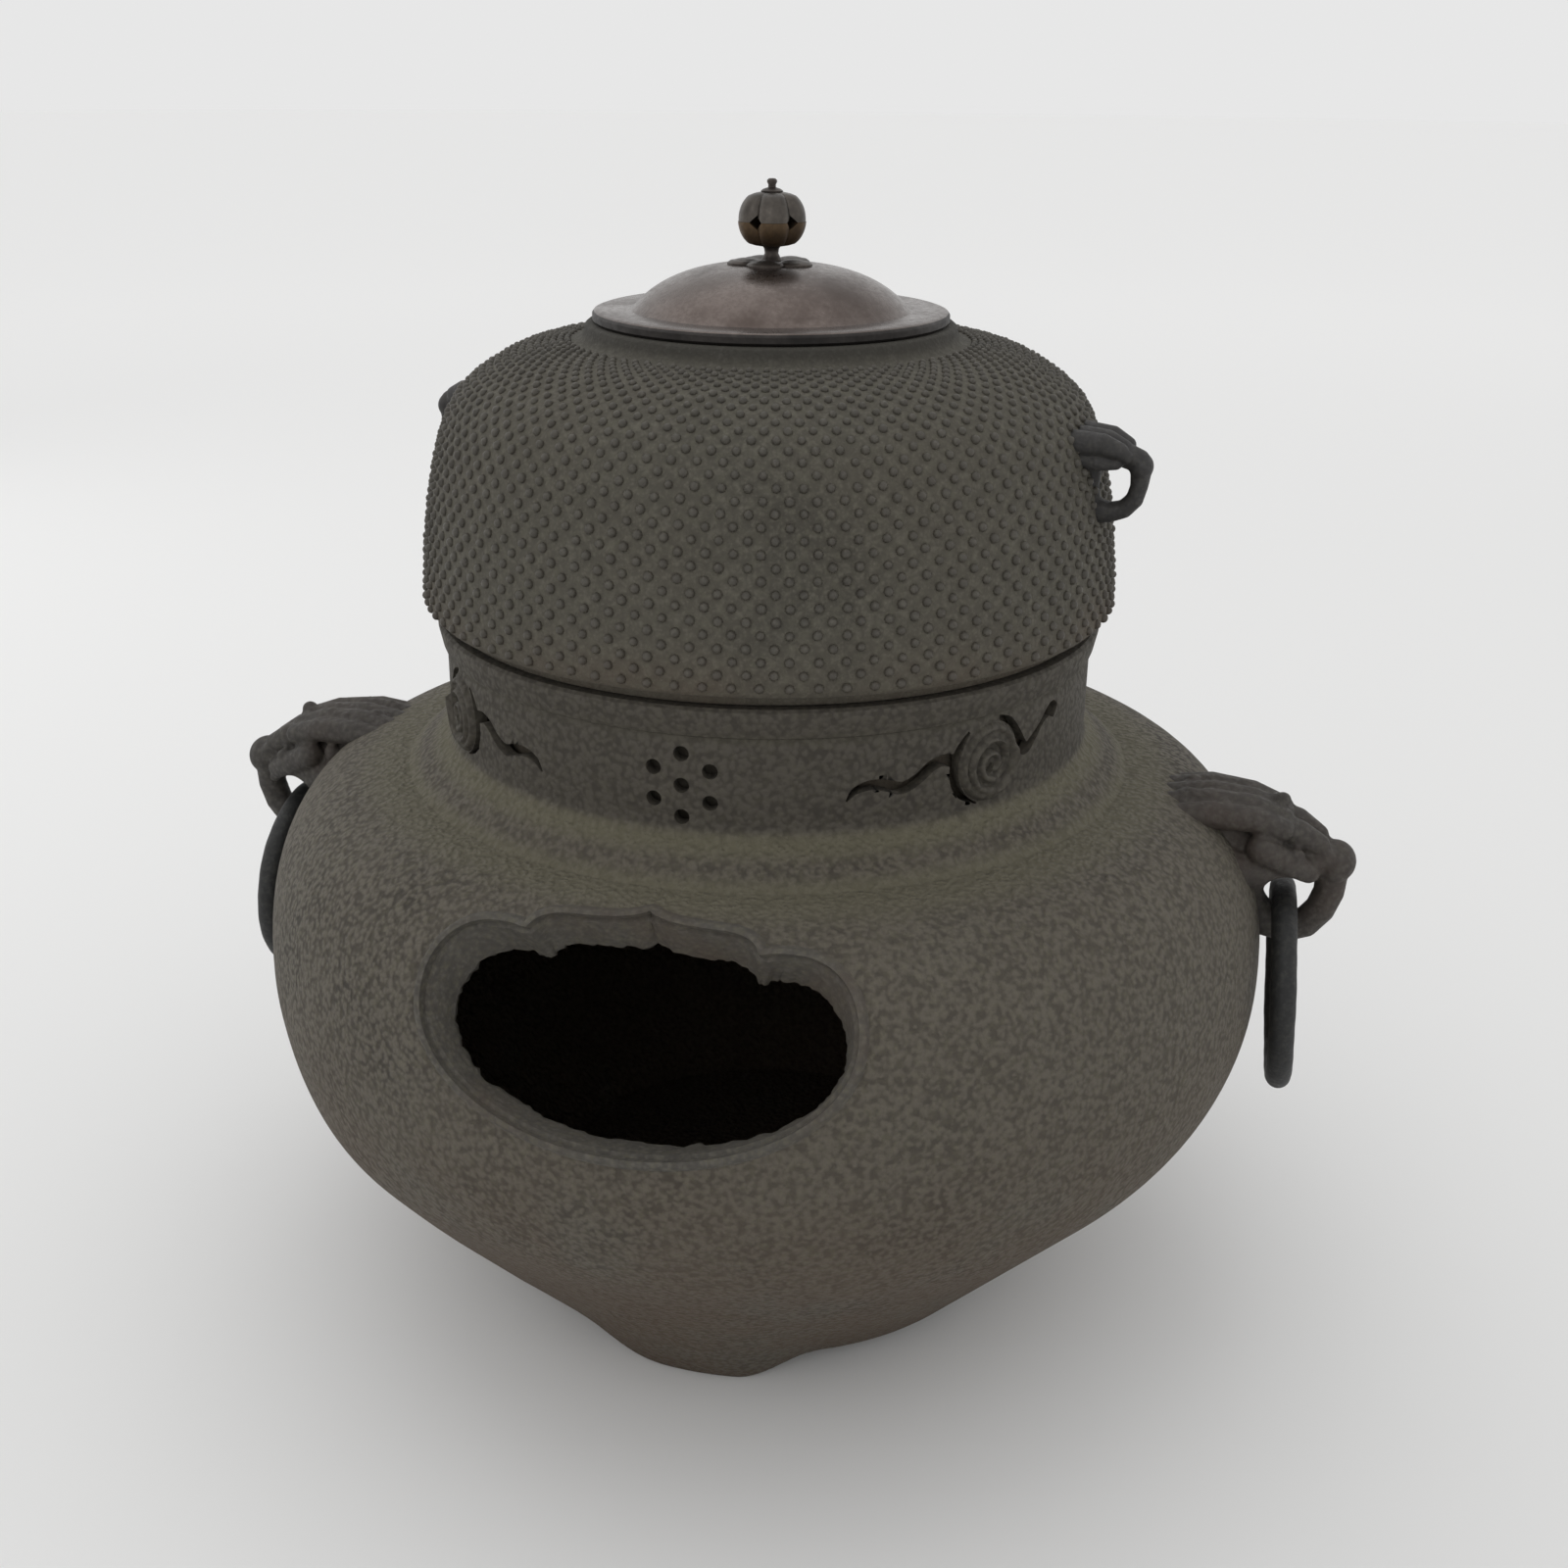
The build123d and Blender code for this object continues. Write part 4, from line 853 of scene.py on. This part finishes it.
# %% Clay tools
def ball(spot, radii, name="clay"):
    """A squashed ball of clay."""
    clear()
    bpy.ops.mesh.primitive_uv_sphere_add(segments=24, ring_count=14, radius=MM, location=Vector(spot) * MM)
    obj = named(name)
    obj.scale = radii if isinstance(radii, (tuple, list)) else (radii, radii, radii)
    return settle(obj)


def roll(spots, radii):
    """A roll of clay through several spots, as a chain of overlapping balls."""
    made = []
    for start, end, r0, r1 in zip(spots, spots[1:], radii, radii[1:]):
        length = (Vector(end) - Vector(start)).length
        count = max(1, int(length / (0.35 * min(r0, r1))))
        for step in range(count):
            t = step / count
            made.append(ball(Vector(start).lerp(Vector(end), t), r0 + (r1 - r0) * t))
    made.append(ball(spots[-1], radii[-1]))
    return made


def fuse(name, pieces, voxel, rounds):
    """Fuses clay into one skin and softens it."""
    obj = join(name, pieces)
    apply(obj, "REMESH", mode="VOXEL", voxel_size=voxel * MM)
    apply(obj, "SMOOTH", factor=0.5, iterations=rounds)
    return obj


def half_turned(obj, name, degrees):
    """A turned copy with its own mesh."""
    copy = obj.copy()
    copy.data = obj.data.copy()
    bpy.context.scene.collection.objects.link(copy)
    copy.name = name
    copy.data.name = name
    copy.data.transform(Matrix.Rotation(math.radians(degrees), 4, "Z"))
    return copy


# %% Model a mask lug
EYE = (188.5, 170.6)
clay = []
for aside, lift in ((0, 0.0), (6.4, -0.3), (-6.4, -0.3), (12.4, -2.2), (-12.4, -2.2)):
    spots = [(146, aside * 1.2, 201.5 + lift), (160, aside * 1.12, 204.0 + lift), (174, aside, 203.2 + lift),
             (184.5, aside * 0.9, 200.0 + lift)]
    clay += roll(spots, [5.2, 5.0, 4.6, 4.0])
for aside in (-5.6, 5.6):
    clay += roll([(181, aside, 197), (190, aside, 194.6), (197.5, aside * 0.8, 190.6)], [5.4, 5.0, 4.0])
clay += roll([(178, -14.5, 191), (187, -12, 186), (195, -9, 182)], [5.2, 4.8, 4.0])
clay += roll([(178, 14.5, 191), (187, 12, 186), (195, 9, 182)], [5.2, 4.8, 4.0])
clay += roll([(150, 0, 192), (165, 0, 190), (182, 0, 187), (196, 0, 184)], [14, 13.5, 10, 8])
clay += roll([(160, -13, 186), (172, -12.5, 182), (184, -10, 180)], [7.5, 6.5, 5])
clay += roll([(160, 13, 186), (172, 12.5, 182), (184, 10, 180)], [7.5, 6.5, 5])
clay.append(ball((203.9, 0, 183.3), (7.4, 8.2, 7.6)))
clay += [ball((200.5, 5.2, 186.6), 3.6), ball((200.5, -5.2, 186.6), 3.6)]
clay += [ball((190, 12.2, 188.4), 3.2), ball((190, -12.2, 188.4), 3.2)]
random.seed(8)
for step in range(18):
    clay.append(ball((random.uniform(150, 186), random.uniform(-14, 14), random.uniform(203.6, 206.4)),
                     random.uniform(2.0, 3.2)))
for step in range(44):
    along, aside = random.uniform(156, 198), random.choice((-1, 1)) * random.uniform(10.5, 16.5)
    drop = (along - 158) * 0.3 + random.uniform(0, 9)
    clay.append(ball((along, aside * (1 - (along - 158) / 90), 196.5 - drop), random.uniform(1.8, 3.2)))
loop = [(203.6, 0, 178), (203.4, 0, 171.5), (201.2, 0, 164.5), (196.6, 0, 158.4), (190, 0, 156.2),
        (182.6, 0, 158.2), (177.0, 0, 164), (175.5, 0, 172), (172, 0, 180)]
clay += roll(loop, [5.6, 5.4, 5.3, 5.3, 5.6, 6.0, 6.8, 8.0, 9.0])
clay += roll([(176, 0, 162), (170, 0, 172), (160, 0, 178)], [6.5, 8, 10])
mask = fuse("mask_head_right", clay, 0.8, 3)
bell = []
for step in range(13):
    aside = -24 + 4 * step
    open_by = 7.2 + 29.6 - math.sqrt(29.6 ** 2 - abs(aside) ** 2)
    bell.append((open_by, aside))
bell = turned("bell", [(0.0, -24.0)] + bell + [(0.0, 24.0)], 56)
bell.data.transform(Matrix.Translation((EYE[0] * MM, 0, EYE[1] * MM)) @ Matrix.Rotation(math.pi / 2, 4, "X"))
cut(mask, bell)
smooth(mask, 50)
mask_left = half_turned(mask, "mask_head_left", 180)
dress(mask, lug_iron, "brazier", "lug_iron", "mask_lug_right")
dress(mask_left, lug_iron, "brazier", "lug_iron", "mask_lug_left")

# %% [markdown]
# ## The carrying rings
# Each ring is a forged round bar, bent to a circle and welded shut, so it is never quite even. A torus has
# the right form; its points are moved a few hundredths of a millimetre by a slow wave so that the light
# breaks on it as on hammered iron.

# %% Two rings
def carrying_ring(name, side):
    """A slightly uneven forged ring that hangs from the pivot and leans outwards."""
    clear()
    bpy.ops.mesh.primitive_torus_add(major_segments=120, minor_segments=28, rotation=(0, math.pi / 2, 0),
                                     major_radius=RING_RADIUS * MM, minor_radius=RING_BAR * MM)
    ring = settle(named(name))
    for vertex in ring.data.vertices:
        turn = math.atan2(vertex.co.y, vertex.co.z)
        core = Vector((0, math.sin(turn), math.cos(turn))) * RING_RADIUS * MM
        thin = 0.035 * (1 + math.sin(7 * turn + side)) / 2 + 0.02 * (1 + math.sin(23 * turn)) / 2
        vertex.co = vertex.co.lerp(core, thin)
    hang = Matrix.Translation((side * RING_PIVOT.x * MM, 0, RING_PIVOT.z * MM))
    hang = hang @ Matrix.Rotation(-side * RING_LEAN, 4, "Y") @ Matrix.Translation((0, 0, -RING_RADIUS * MM))
    ring.data.transform(hang)
    return smooth(ring, 60)


dress(carrying_ring("ring_bar_right", 1), ring_iron, "ring_right", "ring_iron", "carrying_ring_right")
dress(carrying_ring("ring_bar_left", -1), ring_iron, "ring_left", "ring_iron", "carrying_ring_left")

# %% [markdown]
# ## The kettle
# The kettle is a hollow casting too: a round bottom that hangs inside the neck, a seat that rests on the
# rim, an upright side and a domed shoulder up to a short collar. It is spun like the bowl. Its hobnails
# are separate pieces, because thousands of small domes would swamp one mesh.

# %% Kettle shell
def kettle_side():
    """Outside of the kettle without its studs, from the lower edge up to the collar."""
    spots = [(118.6, 267.0), (119.7, 269.4), (119.6, 274.0), (119.2, 280.0), (118.0, 292.0), (116.3, 304.0),
             (114.2, 314.0), (111.6, 324.0), (108.4, 332.0), (104.6, 337.7), (99.3, 342.5), (92.5, 346.9),
             (86.4, 350.0), (79.0, 352.2), (72.0, 353.6), (67.0, 354.2), (64.9, 354.7), (63.8, 355.6),
             (62.9, 357.4)]
    return spots


bottom = [(0.0, KETTLE_BOTTOM)] + [
    (49.5 + 58 * math.sin(t), KETTLE_BOTTOM + 58 - 58 * math.cos(t))
    for t in [math.pi / 2 * step / 14 for step in range(15)]
]
seat = [(107.5, NECK_TOP), (111.6, NECK_TOP), (112.4, NECK_TOP + 0.5), (112.8, 265.2), (113.8, 266.0)]
seat.append((117.4, 266.3))
rim = [(62.4, 359.2), (61.4, KETTLE_RIM), (57.0, KETTLE_RIM), (55.5, 358.6), (55.5, 354.6), (62.0, 350.8)]
inner = [(80.0, 346.2), (97.0, 338.4), (108.0, 326.0), (112.0, 312.0), (115.4, 292.0), (116.3, 270.0)]
inner += [(112.4, 265.5), (104.0, 265.5), (104.0, 236.0), (99.0, 216.0), (88.0, 198.0), (70.0, 186.0)]
inner += [(49.5, 181.5), (0.0, 181.5)]
kettle = smooth(turned("kettle_shell", bottom + seat + kettle_side() + rim + inner, 224), 40)
dress(kettle, kettle_iron, "kettle", "kettle_iron", "kettle_body")

# %% [markdown]
# ## Hobnails
# Rows of little studs are pressed into the mould, each row half a step round from the last, so they run
# in crossing spirals. One stud is modelled as half a ball with eight sides and copied along the rows.
# Towards the collar the rows close up and the studs shrink with them. The rows are built as a mesh in
# code, because thousands of separate copies joined by hand would take minutes.

# %% Model one stud and lay the rows
clear()
bpy.ops.mesh.primitive_uv_sphere_add(segments=8, ring_count=6, radius=1.0)
stud = named("one_stud")
bpy.ops.object.mode_set(mode="EDIT")
bpy.ops.mesh.select_all(action="SELECT")
bpy.ops.mesh.bisect(plane_co=(0, 0, -0.1), plane_no=(0, 0, 1), clear_inner=True)
bpy.ops.object.mode_set(mode="OBJECT")
stud_points = [v.co.copy() for v in stud.data.vertices]
stud_faces = [list(p.vertices) for p in stud.data.polygons]
bpy.data.objects.remove(stud, do_unlink=True)
print("one stud has", len(stud_faces), "faces")

NAILS = 88
walk = kettle_side()
lengths = [0.0]
for (r0, z0), (r1, z1) in zip(walk, walk[1:]):
    lengths.append(lengths[-1] + math.hypot(r1 - r0, z1 - z0))


def along_side(distance):
    """Radius, height and slope of the kettle's side at a distance from its lower edge."""
    for index in range(len(walk) - 1):
        if distance <= lengths[index + 1] or index == len(walk) - 2:
            t = (distance - lengths[index]) / (lengths[index + 1] - lengths[index])
            (r0, z0), (r1, z1) = walk[index], walk[index + 1]
            slope = math.atan2(z1 - z0, r1 - r0)
            return r0 + (r1 - r0) * t, z0 + (z1 - z0) * t, slope
    return walk[-1][0], walk[-1][1], 0.0


random.seed(5)
rows, travelled = [], 3.2
while travelled < lengths[-4] - 0.6:
    radius, up, slope = along_side(travelled)
    rows.append((travelled, radius, up, slope))
    pitch = 2 * math.pi * radius / NAILS
    travelled += pitch * 0.47
print("rows of studs", len(rows))


def stud_mesh(name, chosen):
    """One piece with every stud of the chosen rows."""
    points, faces = [], []
    for number, (distance, radius, up, slope) in chosen:
        size = 1.0 * min(1.0, 0.30 + 0.70 * radius / KETTLE_RADIUS)
        out = Vector((math.sin(slope), 0, -math.cos(slope)))
        climb = Vector((math.cos(slope), 0, math.sin(slope)))
        for nail in range(NAILS):
            turn = 2 * math.pi * (nail + 0.5 * (number % 2) + random.uniform(-0.03, 0.03)) / NAILS
            spin = Matrix.Rotation(turn, 3, "Z")
            wide, tall = size * random.uniform(1.5, 1.75), size * random.uniform(1.45, 1.85)
            base = len(points)
            seat_point = Vector((radius, 0, up)) + climb * random.uniform(-0.12, 0.12)
            for p in stud_points:
                local = seat_point + climb * p.x * wide + Vector((0, 1, 0)) * p.y * wide + out * p.z * tall
                points.append(spin @ local * MM)
            faces.extend([[base + index for index in face] for face in stud_faces])
    mesh = bpy.data.meshes.new(name)
    mesh.from_pydata(points, [], faces)
    obj = bpy.data.objects.new(name, mesh)
    bpy.context.scene.collection.objects.link(obj)
    return smooth(obj, 80)


numbered = list(enumerate(rows))
half = len(numbered) // 2
for name, chosen in (("hobnails_lower", numbered[:half]), ("hobnails_upper", numbered[half:])):
    dress(stud_mesh(name, chosen), stud_iron, "kettle", "kettle_iron")

# %% [markdown]
# ## The kettle's lugs
# Two smaller masks on the kettle's shoulder take lifting rings. They are the same idea as the large ones,
# simpler because they are small: a flat brow, a rounded nose and a loop. The kettle stands turned by
# about nine degrees, so they are too.

# %% Model a kettle lug
KETTLE_TURN = -9.1
clay = []
for aside in (-7.2, 0, 7.2):
    spots = [(108, aside * 1.15, 329.4), (117, aside, 329.2), (122.5, aside * 0.8, 327.2)]
    clay += roll(spots, [4.2, 3.6, 2.8])
clay += roll([(112, 0, 326), (121, 0, 325.8), (127.5, 0, 323.6)], [5.2, 4.2, 3.8])
clay.append(ball((128.6, 0, 321.8), (3.9, 4.6, 4.4)))
clay += [ball((124.4, 4.2, 325.2), 2.2), ball((124.4, -4.2, 325.2), 2.2)]
clay += roll([(128.6, 0, 320), (128.4, 0, 315.5), (127.2, 0, 311), (124.0, 0, 307.6), (119.4, 0, 306.2),
              (113.5, 0, 306.4)], [3.4, 2.9, 2.9, 3.0, 3.4, 4.4])
clay += roll([(113.8, 0, 306), (112.6, 0, 314), (112.6, 0, 325)], [3.4, 2.9, 3.8])
for aside in (-6.5, 6.5):
    clay += roll([(110, aside, 324), (116, aside * 0.9, 323.4), (121, aside * 0.6, 323.2)], [3.8, 3.0, 2.4])
kettle_lug = smooth(fuse("kettle_head_right", clay, 0.5, 3), 60)
kettle_lug.data.transform(Matrix.Rotation(math.radians(KETTLE_TURN), 4, "Z"))
kettle_lug_left = half_turned(kettle_lug, "kettle_head_left", 180)
dress(kettle_lug, handle_iron, "kettle", "kettle_lug_iron", "kettle_lug_right")
dress(kettle_lug_left, handle_iron, "kettle", "kettle_lug_iron", "kettle_lug_left")

# %% [markdown]
# ## The lid
# The lid is turned bronze: a full dome, a flat border and a darker rounded edge. It is spun
# with close rings on the sweep, because reflections show every facet there. The locating ring below is part
# of the same turning.

# %% Turn the lid
RING_FOOT = KETTLE_RIM - 7.0
LID_UNDER = LID_BORDER - 2.4
CROWN_UNDER = LID_CROWN - 2.6
dome_foot = (46.6, LID_BORDER + 0.1)
dome = bezier((16.0, LID_CROWN - 0.2), (29.0, LID_CROWN - 1.7), (39.5, LID_CROWN - 6.0), dome_foot, 22)
border = [(47.2, LID_BORDER), (51.0, LID_BORDER), (58.2, LID_BORDER), (59.4, LID_BORDER - 0.4)]
edge_side = [(LID_RADIUS, LID_BORDER - 1.2), (LID_RADIUS, KETTLE_RIM + 1.0), (59.3, KETTLE_RIM + 0.1)]
under = [(58.0, KETTLE_RIM), (54.5, KETTLE_RIM), (54.5, RING_FOOT), (52.5, RING_FOOT), (52.5, LID_UNDER)]
under += [(43.5, LID_UNDER), (30.0, LID_BORDER + 4.5), (16.0, CROWN_UNDER), (0.0, CROWN_UNDER)]
top = [(0.0, LID_CROWN), (8.0, LID_CROWN), (15.0, LID_CROWN - 0.1)] + dome + border + edge_side + under
lid = smooth(turned("lid_turning", top, 200), 35)
dress(lid, lid_bronze, "lid", "lid_bronze", "lid_plate", "lid_locating_ring")
lid.data.materials.append(edge_bronze)
for face in lid.data.polygons:
    across = math.hypot(face.center.x, face.center.y) / MM
    if across > LID_RADIUS - 1.2 and face.center.z / MM < LID_BORDER - 0.2:
        face.material_index = 1

# %% [markdown]
# ## The knob
# A flower of five domed petals lies under the knob, a short stem rises from it, and a bud of five lobes
# stands on the stem with small openings at its waist. The bud's lower cup is worn golden and its upper
# half dark. A cap and a rivet's button close it. Each half of the bud starts as a spun shell whose radius is
# then pressed in between the lobes.

# %% Petals
PETAL_OUT = 8.5
PETAL_RADIUS = 6.3


def petal_edge(turn):
    """How far the blossom's edge is from its middle in a direction."""
    lobe = (turn + math.pi / 5) % (2 * math.pi / 5) - math.pi / 5
    aside = PETAL_OUT * math.sin(lobe)
    return PETAL_OUT * math.cos(lobe) + math.sqrt(max(0.0, PETAL_RADIUS ** 2 - aside ** 2))


rings = [(step / 14, 1.0) for step in range(15)]
blossom = turned("knob_blossom", rings + [(1.0, 0.0), (0.0, 0.0)], 120)
for vertex in blossom.data.vertices:
    x, y, z = vertex.co / MM
    share, turn = min(1.0, math.hypot(x, y)), math.atan2(x, -y)
    radius = petal_edge(turn) * share
    spot = Vector((radius * math.sin(turn), -radius * math.cos(turn)))
    if z > 0.5:
        lobe = round(turn / (2 * math.pi / 5)) * 2 * math.pi / 5
        middle = Vector((PETAL_OUT * math.sin(lobe), -PETAL_OUT * math.cos(lobe)))
        away = (spot - middle).length / PETAL_RADIUS
        z = 0.5 + 1.6 * max(0.0, 1 - away ** 2) + 0.3 * math.exp(-((away - 0.86) / 0.12) ** 2)
        z = max(z, 1.15 * (1 - ease(radius, 3.0, 5.0)))
    vertex.co = Vector((spot.x, spot.y, LID_CROWN - 0.1 + z)) * MM
tidy_mesh(blossom)
dress(smooth(blossom, 50), petal_bronze, "lid", "petal_bronze", "knob_petal_seat")

# %% Stem, bud halves, cap and button
STEM_TOP = LID_CROWN + 5.5
BUD_HEIGHT = 17.6
CUP_SHARE = 8.2 / BUD_HEIGHT
SEAM = STEM_TOP + 8.2
BUD_TURN = math.radians(18)
stem_side = [(1.3, 1.0), (3.6, 1.2), (2.9, 2.2), (2.3, 3.4), (2.5, 4.9), (3.2, 6.0), (1.3, 6.0)]
stem = turned("knob_neck", [(r, LID_CROWN + up) for r, up in stem_side], 48)
dress(smooth(stem, 50), petal_bronze, "lid", "petal_bronze", "knob_stem")


def bud_half(name, low_share, high_share, swell, material, slot, node_name):
    """Half of the bud's shell between two shares of its height."""
    outer, inner_wall = [], []
    for step in range(15):
        share = low_share + (high_share - low_share) * step / 14
        height = STEM_TOP + BUD_HEIGHT * share
        round_off = math.sqrt(max(0.0, 1 - (2 * share - 1) ** 2))
        radius = max(2.4, (4.3 + 7.2 * round_off) * swell if round_off > 0 else 2.4)
        radius = 2.4 + (radius - 2.4) * min(1.0, round_off * 2.2)
        outer.append((radius, height))
        inner_wall.append((max(1.6, radius - 1.4), height + (0.5 - share) * 1.6))
    shell = turned(name, outer + inner_wall[::-1], 120)
    for vertex in shell.data.vertices:
        turn = math.atan2(vertex.co.x, -vertex.co.y)
        across = math.hypot(vertex.co.x, vertex.co.y) / MM
        lobe = (turn - BUD_TURN + math.pi / 5) % (2 * math.pi / 5) - math.pi / 5
        press = 1 - 0.21 * (abs(lobe) / (math.pi / 5)) ** 2.6 * ease(across, 2.0, 7.0)
        vertex.co.x *= press
        vertex.co.y *= press
    for gap in range(5):
        turn = BUD_TURN + math.pi / 5 * (2 * gap + 1)
        clear()
        spot = Vector((10.5 * math.sin(turn), -10.5 * math.cos(turn), SEAM)) * MM
        bpy.ops.mesh.primitive_cube_add(size=1, location=spot, rotation=(0, math.radians(45), turn))
        window = bpy.context.object
        window.scale = (3.3 * MM, 9 * MM, 3.3 * MM)
        cut(shell, settle(named("window")))
    return dress(smooth(shell, 40), material, "lid", slot, node_name)


bud_half("bud_cup", 0.0, CUP_SHARE, 1.0, golden_bronze, "golden_bronze", "knob_lower_cup")
bud_half("bud_crown", CUP_SHARE + 0.004, 1.0, 0.985, dark_bronze, "dark_bronze", "knob_upper_bud")
BUD_TOP = STEM_TOP + BUD_HEIGHT
cap_side = [(0.0, 1.2), (1.4, 1.15), (2.8, 0.7), (3.7, 0.1), (3.6, -0.2), (0.0, -0.2)]
cap = turned("bud_cap", [(r, BUD_TOP + up) for r, up in cap_side], 48)
dress(smooth(cap, 50), petal_bronze, "lid", "petal_bronze", "knob_cap")
button_side = [(0.0, 4.0), (1.0, 3.95), (1.6, 3.5), (1.7, 2.9), (1.25, 2.0), (1.3, 1.1)]
tail_side = [(1.3, -3.6), (2.6, -3.8), (2.6, -4.9), (0.0, -4.9)]
button_side = [(r, BUD_TOP + up) for r, up in button_side] + [(r, LID_CROWN + up) for r, up in tail_side]
button = turned("bud_button", button_side, 40)
dress(smooth(button, 50), petal_bronze, "lid", "petal_bronze", "knob_rivet")
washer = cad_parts["lid_washer"]
washer.data.materials.clear()
washer.data.materials.append(lid_bronze)

# %% [markdown]
# ## Floor, light and camera
# The set is a plain pale floor under soft light from above, the front and both sides, as in a small
# studio. The sky around is pale grey. The floor's colour is painted paler outwards, painted light that lifts
# the far floor to the sky's brightness so that the two run into each other. The camera stands in front of
# the fire mouth, a little to the right, and looks down.

# %% Floor
clear()
bpy.ops.mesh.primitive_circle_add(vertices=96, radius=14.0, fill_type="NGON")
floor = named("floor")
floor_paint = bpy.data.materials.new("floor_paint")
floor_paint.use_nodes = True
paint = floor_paint.node_tree.nodes["Principled BSDF"]
tree = floor_paint.node_tree
flat = node(tree, "ShaderNodeVectorMath", {0: place(tree)}, operation="LENGTH").outputs["Value"]
# Painted light: the floor's colour is paler outwards, so that the far floor is as bright as the sky.
near, far = (0.83, 0.83, 0.825, 1), (0.99, 0.99, 0.985, 1)
tree.links.new(blend_colours(tree, ramp(tree, flat, 0.3, 3.2), near, far), paint.inputs["Base Color"])
paint.inputs["Roughness"].default_value = 0.85
paint.inputs["Specular IOR Level"].default_value = 0.2
floor.data.materials.append(floor_paint)

# %% Light
world = bpy.data.worlds.new("studio")
bpy.context.scene.world = world
world.use_nodes = True
sky = world.node_tree
background = sky.nodes["Background"]
background.inputs["Color"].default_value = (0.80, 0.80, 0.80, 1)
background.inputs["Strength"].default_value = 1.0


def soft_light(name, spot, aim, size, power):
    """A square soft light that points at a spot."""
    clear()
    bpy.ops.object.light_add(type="AREA", location=spot)
    lamp = bpy.context.object
    lamp.name = name
    lamp.data.size = size
    lamp.data.energy = power
    lamp.rotation_euler = (Vector(aim) - Vector(spot)).to_track_quat("-Z", "Y").to_euler()
    return lamp


soft_light("overhead", (-0.35, 0.35, 1.9), (0, 0, 0.15), 1.8, 4.5)
soft_light("front_fill", (-0.3, -1.7, 1.5), (0, -0.3, 0), 1.4, 3.5)
soft_light("left_panel", (-1.35, 0.35, 0.75), (0, 0, 0.2), 1.3, 1.8)
soft_light("right_panel", (1.45, 0.45, 0.75), (0, 0, 0.2), 1.3, 0.9)
bpy.context.scene.view_settings.view_transform = "Standard"

# %% Camera
clear()
bpy.ops.object.camera_add(location=(0.1447, -0.6074, 0.4449))
camera = bpy.context.object
camera.name = "camera"
camera.rotation_mode = "QUATERNION"
look = Matrix.Rotation(math.radians(13.4), 4, "Z") @ Matrix.Rotation(math.radians(67.9), 4, "X")
look = look @ Matrix.Rotation(math.radians(0.45), 4, "Z")
camera.rotation_quaternion = look.to_quaternion()
camera.data.lens = 41.6
camera.data.sensor_width = 36.0
camera.data.shift_x = 0.0106
camera.data.clip_start = 0.01
bpy.context.scene.camera = camera
